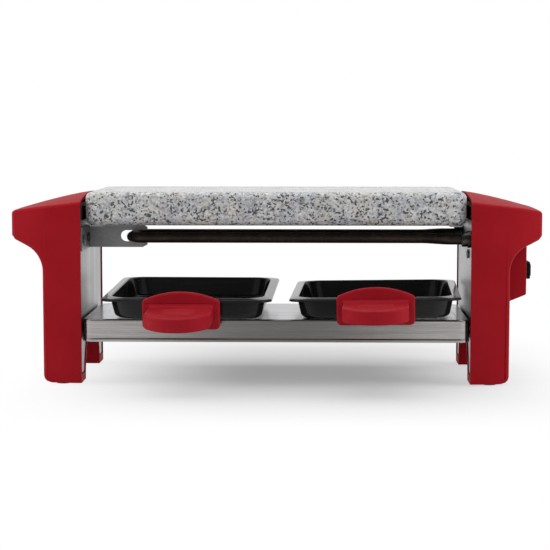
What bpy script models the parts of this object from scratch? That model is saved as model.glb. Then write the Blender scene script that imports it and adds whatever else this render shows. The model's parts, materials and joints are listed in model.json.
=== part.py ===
"""Small raclette grill for two people, modelled piece by piece.

Two moulded end housings stand on rubber feet and carry, between their steel side plates, a
pressed tray for the pans, a hairpin heating element and a granite cooking stone. A rocker
switch sits in a moulded box under the right carrying handle.

Lengths are in metres and Z is up. The origin is in the middle of the footprint, on the
table. The operator stands at -Y. Every size that can be set by itself is a named value
below, and the places of the pieces are worked out from those values.
"""

import math

import bmesh
import bpy
from mathutils import Euler, Matrix, Vector

# Fits shared by all pieces
SEAT_GAP = 0.0003            # between two pieces that touch
BORE_GAP = 0.0003            # radial play of a pin, screw or tube in its hole
OVERRUN = 0.010              # how far a cutter runs past what it cuts
MERGE = 0.00001              # points closer than this are one point
FLAT_ANGLE = math.radians(0.1)
SHARP_ANGLE = math.radians(40.0)
BEVEL_PROFILE_SHARE = 0.5

# End housings, given for the right one and mirrored for the left
HALF_WIDTH = 0.1613           # centre to the outer end of a carrying handle
HOUSING_DEPTH = 0.100        # front to rear
HOUSING_INNER = 0.1172       # centre to the inner rim of a housing
LEG_OUTER = 0.141            # centre to the outer face of a leg
LEG_BOTTOM = 0.0008          # the legs stand this high on their feet
LEG_CORNER = 0.004
HOUSING_WALL = 0.0020
LEG_FLOOR = 0.0050           # solid bottom of each leg
ARCH_HALF = 0.0315            # half the opening between the legs, at the table
ARCH_RISE = 0.0322
GRIP_FILLET = 0.0168          # hollow curve from the leg into the underside of the handle
GRIP_FILLET_HEIGHT = 0.0681
GRIP_RISE_ANGLE = math.radians(24.0)
GRIP_CORNER = 0.006
FILLET_LIMIT_SHARE = 0.85       # of the overhang, at most
CORNER_LIMIT_SHARE = 0.32
PLAN_SWEEP = 0.014           # how far the front curves back at the end of the handle
PLAN_CORNER = 0.006
CREST_INNER = 0.1150         # height of the crowned top along its middle line
CREST_OUTER = 0.1045
EDGE_INNER = 0.1105          # height of the top along its front and rear edges
EDGE_OUTER = 0.1041
CREST_FALL_POWER_SHARE = 1.25
HOUSING_EDGE = 0.0018        # rounding of the moulded edges
BOSS_RADIUS = 0.0036

# Side plates of stainless sheet
PLATE_RECESS = 0.0007         # inner rim of the housing to the plate's inner face
PLATE_THICKNESS = 0.0008
PLATE_TOP = 0.1092
PLATE_CORNER = 0.005
WINDOW_HEIGHT = 0.0085       # opening left where the stone ledge is bent out
WINDOW_MARGIN = 0.012        # from the front and rear edges of the plate
LEDGE_REACH = 0.0125
LEDGE_STEP = 0.0028          # drop from the locating shoulder to the seat
LEDGE_SHOULDER = 0.0028      # width of the locating shoulder

# Granite cooking stone
STONE_LENGTH = 0.230
STONE_DEPTH = 0.095
STONE_THICKNESS = 0.0202
STONE_BOTTOM = 0.0960
STONE_EDGE = 0.0048
STONE_CORNER = 0.009
STONE_SETBACK = 0.0015       # behind the front of the housings

# Tray that the pans stand on
TRAY_TOP = 0.0398
TRAY_HEIGHT = 0.0138
TRAY_DEPTH = 0.0885
TRAY_CORNER = 0.0055
TRAY_EDGE = 0.0016
TRAY_SHEET = 0.0007
TRAY_HEM = 0.0018            # height of the folded hem
TRAY_HEM_STEP = 0.0005
TRAY_SETBACK = 0.0005
TRAY_PAD = 0.0036            # radius of the embossed pads that meet the side plates

# Hairpin heating element and its bracket
ELEMENT_HEIGHT = 0.0875
ROD_RADIUS = 0.0032
HAIRPIN_SETBACK = 0.040      # front of the housings to the hairpin's middle line
HAIRPIN_TIP = 0.0896         # centre to the middle of the rod at the closed end
HAIRPIN_BEND = 0.009
HAIRPIN_SPREAD = 0.016       # half spacing where the legs begin to splay
HAIRPIN_SPLAY_START = 0.088
HAIRPIN_SPLAY_END = 0.106
TERMINAL_SPREAD = 0.027      # half spacing of the two ends
ROD_END = 0.130
BRACKET_HEIGHT = 0.0141
BRACKET_SHEET = 0.0010
BRACKET_FLANGE_START = 0.003
BRACKET_REACH = 0.0371       # arm length from the side plate
SLOT_DEPTH = 0.0166
ARM_CHAMFER = 0.003

# Bushes, nuts and terminals of the element
BUSH_NECK = 0.0045
BUSH_NECK_LENGTH = 0.0035
BUSH_COLLAR = 0.0052
BUSH_COLLAR_LENGTH = 0.0018
BUSH_THREAD = 0.0043
BUSH_THREAD_LENGTH = 0.0065
NUT_RADIUS = 0.0068
NUT_THICKNESS = 0.0032
BEAD_RADIUS = 0.0030
BEAD_LENGTH = 0.0035
PIN_RADIUS = 0.0012
PIN_LENGTH = 0.0090

# Thermal cut-out held under the front nut
CUTOUT_TAB = 0.0010
CUTOUT_TAB_WIDTH = 0.0138
CUTOUT_DROP = 0.0170         # element height down to the middle of the disc body
CUTOUT_RADIUS = 0.0078
CUTOUT_BODY = 0.0085

# Screws
SCREW_RADIUS = 0.0015
SCREW_HEAD_RADIUS = 0.0029
SCREW_HEAD = 0.0014
SCREW_LENGTH = 0.0100
TRAY_SCREW_SETBACKS = (0.016, 0.076)
BRACKET_SCREW_SETBACKS = (0.010, 0.030)
PLATE_SCREW_SETBACK = 0.024
PLATE_SCREW_HEIGHT = 0.0779

# Rubber feet
FOOT_SETBACK = 0.0078
FOOT_RADIUS = 0.0049
FOOT_STEM = 0.0026
FOOT_STEM_LENGTH = 0.0038

# Switch box and rocker switch
SWITCH_BOX_OUTER = 0.1537
SWITCH_BOX_SETBACK = 0.028
SWITCH_BOX_LOW = 0.0468      # bottom at the leg
SWITCH_BOX_OUTER_LOW = 0.0524
SWITCH_BOX_TOP = 0.0893
SWITCH_BOX_EDGE = 0.0008
SWITCH_HEIGHT = 0.0660
BEZEL_LENGTH = 0.0150
BEZEL_HEIGHT = 0.0106
BEZEL_PROUD = 0.0018
SWITCH_BODY_LENGTH = 0.0132
SWITCH_BODY_HEIGHT = 0.0094
SWITCH_BODY_DEPTH = 0.0110
ROCKER_HALF = 0.0052
ROCKER_HALF_HEIGHT = 0.0036
ROCKER_END_RISE = 0.0015
ROCKER_MIDDLE_RISE = 0.0009
ROCKER_KEEL_HALF = 0.0030
ROCKER_KEEL = 0.0016
ROCKER_TILT = math.radians(12.0)
ROCKER_PIN = 0.0007
ROCKER_WINDOW_PLAY = 0.0008
SWITCH_TAB_LENGTH = 0.0065
SWITCH_TAB_WIDTH = 0.0040
SWITCH_TAB_SHEET = 0.0008
SWITCH_TAB_SPACING = 0.0060

# Mains side: terminal block, cord gland and internal leads
BLOCK_LENGTH = 0.022
BLOCK_HEIGHT = 0.014
BLOCK_THICKNESS = 0.011
BLOCK_SETBACK = 0.083
BLOCK_CENTRE_HEIGHT = 0.0593
BLOCK_BOSS = 0.0045          # stand-off of the block from the housing's outer wall
BLOCK_SCREW_LENGTH = 0.0140
GLAND_HEIGHT = 0.030
GLAND_RADIUS = 0.0045
GLAND_FLANGE = 0.0062
GLAND_LIP = 0.0016
GLAND_BORE = 0.0031
GLAND_PAD = 0.0046           # flat pad moulded on the wall for the gland
GLAND_PAD_RADIUS = 0.0075
LEAD_RADIUS = 0.0009
LEAD_PULL = 0.010            # how far a lead runs straight on from its end

# Pans
PAN_HALF = 0.0515            # half the outer width of the square rim
PAN_RIM = 0.0043
PAN_HEIGHT = 0.0135
PAN_SHEET = 0.0008
PAN_DRAFT = 0.0025           # how much each wall leans in over its height
PAN_RIM_CORNER = 0.0065
PAN_BASE_CORNER = 0.0100
PAN_FOOT_RADIUS = 0.0035
PAN_SETBACK = 0.0435         # front of the housings to the middle of a pan
PAN_CENTRES = {"left": -0.0522, "right": 0.0618}
PAN_YAWS = {"left": math.radians(-1.5), "right": math.radians(-2.4)}
PAN_TIPS = {"left": math.radians(2.2), "right": math.radians(0.8)}     # rear edge up
PAN_ROLLS = {"left": 0.0, "right": math.radians(-0.9)}                 # right side up
HANDLE_DROPS = {"left": 0.0043, "right": 0.0023}     # rim to the top of the grip
HANDLE_DROOPS = {"left": math.radians(1.1), "right": math.radians(-0.4)}
HANDLE_SHIFTS = {"left": -0.0022, "right": 0.0005}    # sideways from the pan's middle

# Handle of a pan
SHIELD_WIDTH = 0.0465
SHIELD_THICKNESS = 0.0034
SHIELD_BELOW = 0.0137        # grip's top down to the shield's lower edge
SHIELD_SHOULDER = 0.0036     # grip's top up to the shield's shoulders
SHIELD_CROWN = 0.0054        # shoulders up to the top of the arched edge
SHIELD_CORNER = 0.0030
SHIELD_GAP = 0.0008          # rim to shield
GRIP_WIDTH = 0.0388
GRIP_LENGTH = 0.0238
GRIP_THICKNESS = 0.0090
GRIP_BOW = 0.0140            # forward bulge of the grip's front edge
GRIP_BELLY = 0.0006          # how far the middle of the underside hangs below its sides
GRIP_EDGE = 0.0011
RIB_COUNT = 6
RIB_PITCH = 0.0026
RIB_DEPTH = 0.0005
RIB_WIDTH = 0.0012
RIB_LENGTH = 0.0260
TANG_WIDTH = 0.0140
TANG_SHEET = 0.0012
TANG_INSERT = 0.0190         # depth of the tang in the handle
TANG_LEAF = 0.0075           # height of the leaf on the pan's wall
HANDLE_SCREW_INSET = 0.0120  # shield's front to the screw's axis

# Facets of round shapes
TURN_STEPS = 16
ARC_STEPS = 6
FINE_ARC_STEPS = 10
ROUND_STEPS = 3
CROWN_STEPS = 8

# Places worked out from the sizes above
GRIP_FRONT = PAN_HALF + SHIELD_GAP + SHIELD_THICKNESS + GRIP_LENGTH + GRIP_BOW
HANDLE_REACH = GRIP_FRONT - PAN_SETBACK
FRONT = (HANDLE_REACH - HOUSING_DEPTH - SEAT_GAP - GLAND_LIP) / 2.0
REAR = FRONT + HOUSING_DEPTH
MIDDLE = (FRONT + REAR) / 2.0
PLATE_INNER = HOUSING_INNER + PLATE_RECESS
PLATE_OUTER = PLATE_INNER + PLATE_THICKNESS
FOOT_CENTRE = (HOUSING_INNER + LEG_OUTER) / 2.0
PLATE_INSET = HOUSING_WALL + SEAT_GAP
HAIRPIN_Y = FRONT + HAIRPIN_SETBACK
TRAY_HALF = HOUSING_INNER - SEAT_GAP
TRAY_SCREW_HEIGHT = TRAY_TOP - TRAY_HEIGHT / 2.0
STONE_Y = FRONT + STONE_SETBACK + STONE_DEPTH / 2.0
LEDGE_TOP = STONE_BOTTOM - SEAT_GAP + LEDGE_STEP
PAN_BOTTOM = TRAY_TOP + SEAT_GAP
PAN_STANCE = PAN_HALF - PAN_RIM - PAN_DRAFT - PAN_FOOT_RADIUS
SWITCH_FACE = SWITCH_BOX_OUTER + SEAT_GAP
PIVOT_X = SWITCH_BOX_OUTER + SEAT_GAP

COLOURS = {
    "red_plastic": ((0.30, 0.012, 0.018, 1.0), 0.42, 0.0),
    "black_plastic": ((0.012, 0.012, 0.012, 1.0), 0.40, 0.0),
    "stainless": ((0.55, 0.54, 0.52, 1.0), 0.28, 1.0),
    "dull_steel": ((0.16, 0.16, 0.16, 1.0), 0.45, 1.0),
    "heated_steel": ((0.025, 0.017, 0.012, 1.0), 0.55, 0.8),
    "granite": ((0.50, 0.50, 0.49, 1.0), 0.30, 0.0),
    "nonstick": ((0.016, 0.016, 0.017, 1.0), 0.38, 0.1),
    "rubber": ((0.010, 0.010, 0.010, 1.0), 0.80, 0.0),
    "brass": ((0.55, 0.38, 0.12, 1.0), 0.35, 1.0),
    "ceramic": ((0.75, 0.72, 0.64, 1.0), 0.55, 0.0),
    "lead_sleeve": ((0.70, 0.70, 0.68, 1.0), 0.60, 0.0),
}


# Scene helpers

def clear_scene():
    """Remove every object and collection of the open file."""
    for item in list(bpy.data.objects):
        bpy.data.objects.remove(item, do_unlink=True)
    for group in list(bpy.data.collections):
        bpy.data.collections.remove(group)


def new_collection(name):
    """Make a collection under the scene's root."""
    group = bpy.data.collections.new(name)
    bpy.context.scene.collection.children.link(group)
    return group


def make_materials():
    """One Principled material for each finish."""
    made = {}
    for name, (colour, roughness, metallic) in COLOURS.items():
        material = bpy.data.materials.new(name)
        material.use_nodes = True
        shader = material.node_tree.nodes["Principled BSDF"]
        shader.inputs["Base Color"].default_value = colour
        shader.inputs["Roughness"].default_value = roughness
        shader.inputs["Metallic"].default_value = metallic
        material.diffuse_color = colour
        made[name] = material
    return made


def own_material(name, finish):
    """A copy of a finish that belongs to one piece."""
    material = MATERIALS[finish].copy()
    material.name = name + "_" + finish
    return material


def add_part(name, data, finish, parent=None):
    """Put a mesh or curve into the parts collection under its node name."""
    part = bpy.data.objects.new(name, data)
    PARTS.objects.link(part)
    data.materials.append(own_material(name, finish))
    if parent is not None:
        part.parent = parent
    return part


def add_guide(name, data):
    """Put a cutter into its own collection, out of the render."""
    guide = bpy.data.objects.new(name, data)
    CUTTERS.objects.link(guide)
    guide.hide_render = True
    guide.display_type = "WIRE"
    return guide


def add_empty(name, place, turn=0.0, tip=0.0, roll=0.0):
    """An empty on a joint, turned about Z, that carries a moving group."""
    empty = bpy.data.objects.new(name, None)
    PARTS.objects.link(empty)
    empty.location = place
    empty.rotation_euler = Euler((tip, roll, turn))
    empty.empty_display_size = HOUSING_WALL
    return empty


def cut(part, cutter, operation="DIFFERENCE"):
    """Add one exact Boolean to a part or a cutter."""
    modifier = part.modifiers.new(operation.lower(), "BOOLEAN")
    modifier.operation = operation
    modifier.solver = "EXACT"
    modifier.object = cutter


def bevel(part, width, segments=2, angle=SHARP_ANGLE):
    """Round the sharp edges of a part."""
    modifier = part.modifiers.new("bevel", "BEVEL")
    modifier.width = width
    modifier.segments = segments
    modifier.limit_method = "ANGLE"
    modifier.angle_limit = angle
    modifier.use_clamp_overlap = False


def smooth(mesh, angle=math.radians(35.0)):
    """Shade a mesh smooth and keep its real edges sharp."""
    mesh.shade_smooth()
    mesh.set_sharp_from_angle(angle=angle)


# Outlines and meshes

def arc(centre, radius, start, end, steps=ARC_STEPS):
    """Points of an arc in a plane, both ends included."""
    turns = [start + (end - start) * step / steps for step in range(steps + 1)]
    return [(centre[0] + radius * math.cos(turn), centre[1] + radius * math.sin(turn))
            for turn in turns]


def rounded_rectangle(half_x, half_y, radius, steps=ARC_STEPS):
    """Outline of a rectangle with round corners, centred, running anticlockwise."""
    points = []
    for quarter, (side_x, side_y) in enumerate(((1, 1), (-1, 1), (-1, -1), (1, -1))):
        centre = (side_x * (half_x - radius), side_y * (half_y - radius))
        start = quarter * math.pi / 2.0
        points += arc(centre, radius, start, start + math.pi / 2.0, steps)
    return points


PLANES = {
    "XY": Matrix.Identity(3),
    "XZ": Matrix(((1.0, 0.0, 0.0), (0.0, 0.0, -1.0), (0.0, 1.0, 0.0))),
    "YZ": Matrix(((0.0, 0.0, 1.0), (1.0, 0.0, 0.0), (0.0, 1.0, 0.0))),
}


def outline_mesh(name, points, plane, low, high):
    """Extrude a closed outline between two places along its plane's normal.

    The outline is a filled 2D curve with an extrude of half the thickness, made a mesh.
    In XZ the normal is -Y, so the places are given along +Y and turned round here.
    """
    curve = bpy.data.curves.new(name, "CURVE")
    curve.dimensions = "2D"
    curve.fill_mode = "BOTH"
    curve.extrude = (high - low) / 2.0
    spline = curve.splines.new("POLY")
    spline.points.add(len(points) - 1)
    for point, (across, along) in zip(spline.points, points):
        point.co = (across, along, 0.0, 1.0)
    spline.use_cyclic_u = True
    holder = bpy.data.objects.new(name, curve)
    CUTTERS.objects.link(holder)
    turn = PLANES[plane]
    middle = (low + high) / 2.0
    normal = turn @ Vector((0.0, 0.0, 1.0))
    place = Vector([abs(value) * middle for value in normal])
    holder.matrix_world = Matrix.Translation(place) @ turn.to_4x4()
    return mesh_from_curve(holder)


def mesh_from_curve(holder):
    """Turn a curve object into a welded mesh in world space and remove the curve."""
    bpy.context.view_layer.update()
    graph = bpy.context.evaluated_depsgraph_get()
    mesh = bpy.data.meshes.new_from_object(holder.evaluated_get(graph))
    mesh.transform(holder.matrix_world)
    work = bmesh.new()
    work.from_mesh(mesh)
    bmesh.ops.remove_doubles(work, verts=work.verts, dist=MERGE)
    bmesh.ops.dissolve_limit(work, angle_limit=FLAT_ANGLE, verts=work.verts, edges=work.edges)
    bmesh.ops.recalc_face_normals(work, faces=work.faces)
    work.to_mesh(mesh)
    work.free()
    bpy.data.objects.remove(holder, do_unlink=True)
    return mesh


def tube_mesh(name, points, radius, resolution=2):
    """A tube along a list of points, with filled caps."""
    curve = bpy.data.curves.new(name, "CURVE")
    curve.dimensions = "3D"
    curve.bevel_depth = radius
    curve.bevel_resolution = resolution
    curve.use_fill_caps = True
    spline = curve.splines.new("POLY")
    spline.points.add(len(points) - 1)
    for point, place in zip(spline.points, points):
        point.co = (place[0], place[1], place[2], 1.0)
    holder = bpy.data.objects.new(name, curve)
    CUTTERS.objects.link(holder)
    mesh = mesh_from_curve(holder)
    smooth(mesh)
    return mesh


def box_mesh(name, low, high):
    """A box between two corners, made from the cube primitive."""
    work = bmesh.new()
    bmesh.ops.create_cube(work, size=1.0)
    size = [top - bottom for bottom, top in zip(low, high)]
    middle = [(top + bottom) / 2.0 for bottom, top in zip(low, high)]
    bmesh.ops.scale(work, vec=size, verts=work.verts)
    bmesh.ops.translate(work, vec=middle, verts=work.verts)
    mesh = bpy.data.meshes.new(name)
    work.to_mesh(mesh)
    work.free()
    return mesh


def cylinder_mesh(name, radius, start, end, sides=TURN_STEPS, turn=0.0):
    """A cylinder or hexagon between two points."""
    start = Vector(start)
    axis = Vector(end) - start
    work = bmesh.new()
    bmesh.ops.create_cone(work, cap_ends=True, segments=sides, radius1=radius,
                          radius2=radius, depth=axis.length)
    place = Matrix.Translation(start + axis / 2.0)
    aim = axis.to_track_quat("Z", "Y").to_matrix().to_4x4()
    work.transform(place @ aim @ Matrix.Rotation(turn, 4, "Z"))
    mesh = bpy.data.meshes.new(name)
    work.to_mesh(mesh)
    work.free()
    smooth(mesh)
    return mesh


def turned_part(name, profile, finish, place, aim, parent=None, steps=TURN_STEPS, closed=False):
    """Turn a profile of (radius, height) points about an axis with a Screw modifier.

    The profile runs down its outer side from top to bottom. Aim is the direction of its +Z.
    """
    mesh = bpy.data.meshes.new(name)
    points = [(radius, 0.0, height) for radius, height in profile]
    edges = [(index, index + 1) for index in range(len(points) - 1)]
    if closed:
        edges.append((len(points) - 1, 0))
    mesh.from_pydata(points, edges, [])
    part = add_part(name, mesh, finish, parent)
    part.location = place
    part.rotation_euler = Vector(aim).to_track_quat("Z", "Y").to_euler()
    screw = part.modifiers.new("turn", "SCREW")
    screw.axis = "Z"
    screw.angle = 2.0 * math.pi
    screw.steps = steps
    screw.render_steps = steps
    screw.use_merge_vertices = True
    screw.merge_threshold = MERGE
    screw.use_smooth_shade = True
    screw.use_normal_calculate = False
    return part


def loft_mesh(name, loops, cap_last=True):
    """Skin between outlines of equal count, each given as (points, height)."""
    mesh = bpy.data.meshes.new(name)
    count = len(loops[0][0])
    points = [(across, along, height) for outline, height in loops for across, along in outline]
    faces = []
    for ring in range(len(loops) - 1):
        for index in range(count):
            following = (index + 1) % count
            faces.append((ring * count + index, ring * count + following,
                          (ring + 1) * count + following, (ring + 1) * count + index))
    if cap_last:
        faces.append(tuple((len(loops) - 1) * count + index for index in range(count)))
    mesh.from_pydata(points, [], faces)
    work = bmesh.new()
    work.from_mesh(mesh)
    bmesh.ops.recalc_face_normals(work, faces=work.faces)
    work.to_mesh(mesh)
    work.free()
    smooth(mesh)
    return mesh


def solidify(part, thickness, offset):
    """Give a sheet its thickness, to one side of the drawn surface."""
    modifier = part.modifiers.new("sheet", "SOLIDIFY")
    modifier.thickness = thickness
    modifier.offset = offset
    modifier.use_even_offset = True


# End housings

def mirrored(points, side):
    """Outline for the right side, or its mirror image for the left."""
    if side > 0:
        return points
    return [(-across, along) for across, along in reversed(points)]


def elevation_outline(inset):
    """Front view of the right housing: leg, hollow grip curve and handle end."""
    outer = LEG_OUTER - inset
    bottom = LEG_FLOOR + LEG_BOTTOM if inset else LEG_BOTTOM
    corner = LEG_CORNER - inset
    start = HOUSING_INNER - OVERRUN / 2.0
    points = [(start, bottom)]
    points += arc((outer - corner, bottom + corner), corner, -math.pi / 2.0, 0.0, ARC_STEPS // 2)
    overhang = HALF_WIDTH - LEG_OUTER
    hollow = min(GRIP_FILLET, FILLET_LIMIT_SHARE * overhang)
    fillet_centre = (LEG_OUTER + hollow, GRIP_FILLET_HEIGHT)
    fillet = hollow + inset
    fillet_end = math.pi / 2.0 + GRIP_RISE_ANGLE
    points += arc(fillet_centre, fillet, math.pi, fillet_end, FINE_ARC_STEPS)
    slope = (math.cos(GRIP_RISE_ANGLE), math.sin(GRIP_RISE_ANGLE))
    first = points[-1]
    end_corner = max(min(GRIP_CORNER, CORNER_LIMIT_SHARE * overhang) - inset, SEAT_GAP)
    centre_x = HALF_WIDTH + SEAT_GAP - inset - end_corner
    run = (centre_x - first[0] + end_corner * slope[1]) / slope[0]
    centre_z = first[1] + run * slope[1] + end_corner * slope[0]
    points += arc((centre_x, centre_z), end_corner, GRIP_RISE_ANGLE - math.pi / 2.0, 0.0)
    top = CREST_INNER + OVERRUN
    points += [(centre_x + end_corner, top), (start, top)]
    return points


def plan_outline(inset):
    """Top view of the right housing: the front and rear sweep back to the handle's end."""
    reach = HALF_WIDTH - HOUSING_INNER
    sweep = (reach ** 2 + PLAN_SWEEP ** 2) / (2.0 * PLAN_SWEEP)
    corner = PLAN_CORNER - inset
    centre_x = HALF_WIDTH - inset - corner
    gap = sweep - inset - corner
    centre_y = FRONT + sweep - math.sqrt(gap ** 2 - (centre_x - HOUSING_INNER) ** 2)
    meet = math.atan2(centre_y - FRONT - sweep, centre_x - HOUSING_INNER)
    front = [(HOUSING_INNER - OVERRUN, FRONT + inset)]
    front += arc((HOUSING_INNER, FRONT + sweep), sweep - inset, -math.pi / 2.0, meet, FINE_ARC_STEPS)
    front += arc((centre_x, centre_y), corner, meet, 0.0)[1:]
    rear = [(across, 2.0 * MIDDLE - along) for across, along in reversed(front)]
    return front + rear


def crown_height(reach_share, depth_share):
    """Height of the crowned top.

    The first share runs from the inner rim to the handle's end, the second from -1 at the
    front edge to 1 at the rear edge.
    """
    reach_share = min(max(reach_share, 0.0), 1.0)
    crest = CREST_INNER - (CREST_INNER - CREST_OUTER) * reach_share ** CREST_FALL_POWER_SHARE
    edge = EDGE_INNER - (EDGE_INNER - EDGE_OUTER) * reach_share
    return edge + (crest - edge) * (1.0 - depth_share ** 2)


def crowned_block(name, side, inset):
    """Loft of plan outlines up to the crowned top, with its edge rounded over.

    Each ring is the plan outline drawn in a little further, and the last one is bridged
    from its front half to its rear half over the crown.
    """
    radius = max(HOUSING_EDGE - inset, SEAT_GAP)

    def point(outline_point, drop):
        """A point of a ring, at the crown's height less a drop."""
        across, along = outline_point
        reach_share = (across - HOUSING_INNER) / (HALF_WIDTH - HOUSING_INNER)
        depth_share = (along - MIDDLE) / (HOUSING_DEPTH / 2.0)
        return (side * across, along, crown_height(reach_share, depth_share) - inset - drop)

    rings = [[(side * across, along, -OVERRUN) for across, along in plan_outline(inset)]]
    for step in range(ROUND_STEPS + 1):
        turn = math.pi / 2.0 * step / ROUND_STEPS
        outline = plan_outline(inset + radius * (1.0 - math.cos(turn)))
        rings.append([point(place, radius * (1.0 - math.sin(turn))) for place in outline])
    count = len(rings[0])
    vertices = [place for ring in rings for place in ring]
    faces = [tuple(range(count))]
    for ring in range(len(rings) - 1):
        for index in range(count):
            following = (index + 1) % count
            faces.append((ring * count + index, ring * count + following,
                          (ring + 1) * count + following, (ring + 1) * count + index))
    last = (len(rings) - 1) * count
    strips = []
    for index in range(count // 2):
        other = count - 1 - index
        front = plan_outline(inset + radius)[index]
        rear = plan_outline(inset + radius)[other]
        strip = [last + index]
        for step in range(1, CROWN_STEPS):
            along = front[1] + (rear[1] - front[1]) * step / CROWN_STEPS
            strip.append(len(vertices))
            vertices.append(point((front[0], along), 0.0))
        strips.append(strip + [last + other])
    for strip, following in zip(strips, strips[1:]):
        for step in range(CROWN_STEPS):
            faces.append((strip[step], following[step], following[step + 1], strip[step + 1]))
    mesh = bpy.data.meshes.new(name)
    mesh.from_pydata(vertices, [], faces)
    work = bmesh.new()
    work.from_mesh(mesh)
    rim = [edge for edge in work.edges if edge.is_boundary]
    bmesh.ops.holes_fill(work, edges=rim, sides=0)
    bmesh.ops.recalc_face_normals(work, faces=work.faces)
    work.to_mesh(mesh)
    work.free()
    return mesh


def arch_outline(inset):
    """Side view of the opening between the legs: half an ellipse on the table."""
    half = ARCH_HALF + inset
    rise = ARCH_RISE + inset
    steps = 2 * FINE_ARC_STEPS
    turns = [math.pi * step / steps for step in range(steps + 1)]
    points = [(MIDDLE + half * math.cos(turn), LEG_BOTTOM + rise * math.sin(turn))
              for turn in turns]
    return points + [(MIDDLE - half, -OVERRUN), (MIDDLE + half, -OVERRUN)]


def housing_block(name, side, inset):
    """The housing's form: the crowned block, cut to its front view and by the arch."""
    block = add_guide(name, crowned_block(name, side, inset))
    elevation = outline_mesh(name + "_elevation", mirrored(elevation_outline(inset), side), "XZ",
                             FRONT - OVERRUN, REAR + OVERRUN)
    cut(block, add_guide(name + "_elevation", elevation), "INTERSECT")
    ends = sorted((side * (HOUSING_INNER - 2.0 * OVERRUN), side * (HALF_WIDTH + OVERRUN)))
    arch = outline_mesh(name + "_arch", arch_outline(inset), "YZ", ends[0], ends[1])
    cut(block, add_guide(name + "_arch", arch))
    return block


def rounded_form(block):
    """The form of a block as a mesh, with its edges rounded save at its inner end and soles."""
    bpy.context.view_layer.update()
    graph = bpy.context.evaluated_depsgraph_get()
    mesh = bpy.data.meshes.new_from_object(block.evaluated_get(graph))
    work = bmesh.new()
    work.from_mesh(mesh)
    edges = []
    for edge in work.edges:
        inside = all(abs(vert.co.x) < HOUSING_INNER - SEAT_GAP for vert in edge.verts)
        below = all(vert.co.z < LEG_BOTTOM + SEAT_GAP for vert in edge.verts)
        if edge.calc_face_angle() > SHARP_ANGLE and not inside and not below:
            edges.append(edge)
    bmesh.ops.bevel(work, geom=edges, offset=HOUSING_EDGE, offset_type="OFFSET", segments=2,
                    profile=BEVEL_PROFILE_SHARE, affect="EDGES", clamp_overlap=False)
    work.to_mesh(mesh)
    work.free()
    return mesh


def bore(part, name, radius, start, end):
    """Cut a round hole between two points."""
    cut(part, add_guide(name, cylinder_mesh(name, radius, start, end, sides=TURN_STEPS // 2 + 2)))


def boss(cavity, name, side, along, height, radius=BOSS_RADIUS, top=None):
    """Leave a round boss standing in a cavity, from the outer wall towards the plate."""
    start = PLATE_OUTER + SEAT_GAP if top is None else top
    mesh = cylinder_mesh(name, radius, (side * start, along, height),
                         (side * HALF_WIDTH, along, height),
                         sides=TURN_STEPS // 2 + 2)
    cut(cavity, add_guide(name, mesh))


def plate_fixings(side):
    """Places (setback, height) where screws hold a side plate to its housing."""
    places = [(setback, TRAY_SCREW_HEIGHT) for setback in TRAY_SCREW_SETBACKS]
    if side < 0:
        places += [(setback, ELEMENT_HEIGHT) for setback in BRACKET_SCREW_SETBACKS]
    else:
        places.append((PLATE_SCREW_SETBACK, PLATE_SCREW_HEIGHT))
    return places


def make_housing(side, name):
    """One moulded end housing: rounded outside, hollow inside, open towards its plate."""
    housing = add_part(name, rounded_form(housing_block(name + "_block", side, 0.0)), "red_plastic")
    ends = sorted((0.0, side * HOUSING_INNER))
    trim = box_mesh(name + "_trim", (ends[0], FRONT - OVERRUN, -OVERRUN),
                    (ends[1], REAR + OVERRUN, CREST_INNER + OVERRUN))
    cut(housing, add_guide(name + "_trim", trim))
    cavity = housing_block(name + "_cavity", side, HOUSING_WALL)
    for index, (setback, height) in enumerate(plate_fixings(side)):
        boss(cavity, f"{name}_boss_{index}", side, FRONT + setback, height)
    if side > 0:
        boss(cavity, name + "_block_boss", side, FRONT + BLOCK_SETBACK, BLOCK_CENTRE_HEIGHT,
             top=LEG_OUTER - HOUSING_WALL - BLOCK_BOSS)
        add_switch_box(housing, cavity, name)
    cut(housing, cavity)
    for index, (setback, height) in enumerate(plate_fixings(side)):
        along = FRONT + setback
        depth = PLATE_OUTER + SCREW_LENGTH + SEAT_GAP
        bore(housing, f"{name}_bore_{index}", SCREW_RADIUS + BORE_GAP,
             (side * (PLATE_OUTER - OVERRUN), along, height), (side * depth, along, height))
    if side > 0:
        pad = cylinder_mesh("gland_pad", GLAND_PAD_RADIUS, (GLAND_X, REAR - GLAND_PAD, GLAND_HEIGHT),
                            (GLAND_X, REAR, GLAND_HEIGHT))
        cut(housing, add_guide("gland_pad", pad), "UNION")
        bore(housing, name + "_gland_hole", GLAND_RADIUS + BORE_GAP,
             (GLAND_X, REAR - OVERRUN, GLAND_HEIGHT), (GLAND_X, REAR + OVERRUN, GLAND_HEIGHT))
        bore(housing, name + "_block_bore", SCREW_RADIUS + BORE_GAP,
             (PLATE_OUTER, FRONT + BLOCK_SETBACK, BLOCK_CENTRE_HEIGHT),
             (LEG_OUTER - HOUSING_WALL, FRONT + BLOCK_SETBACK, BLOCK_CENTRE_HEIGHT))
    for place, along in (("front", FRONT + FOOT_SETBACK), ("rear", REAR - FOOT_SETBACK)):
        bore(housing, f"{name}_{place}_foot_hole", FOOT_STEM + BORE_GAP,
             (side * FOOT_CENTRE, along, LEG_BOTTOM - OVERRUN),
             (side * FOOT_CENTRE, along, LEG_BOTTOM + FOOT_STEM_LENGTH + SEAT_GAP))
    smooth(housing.data)
    return housing


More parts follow.
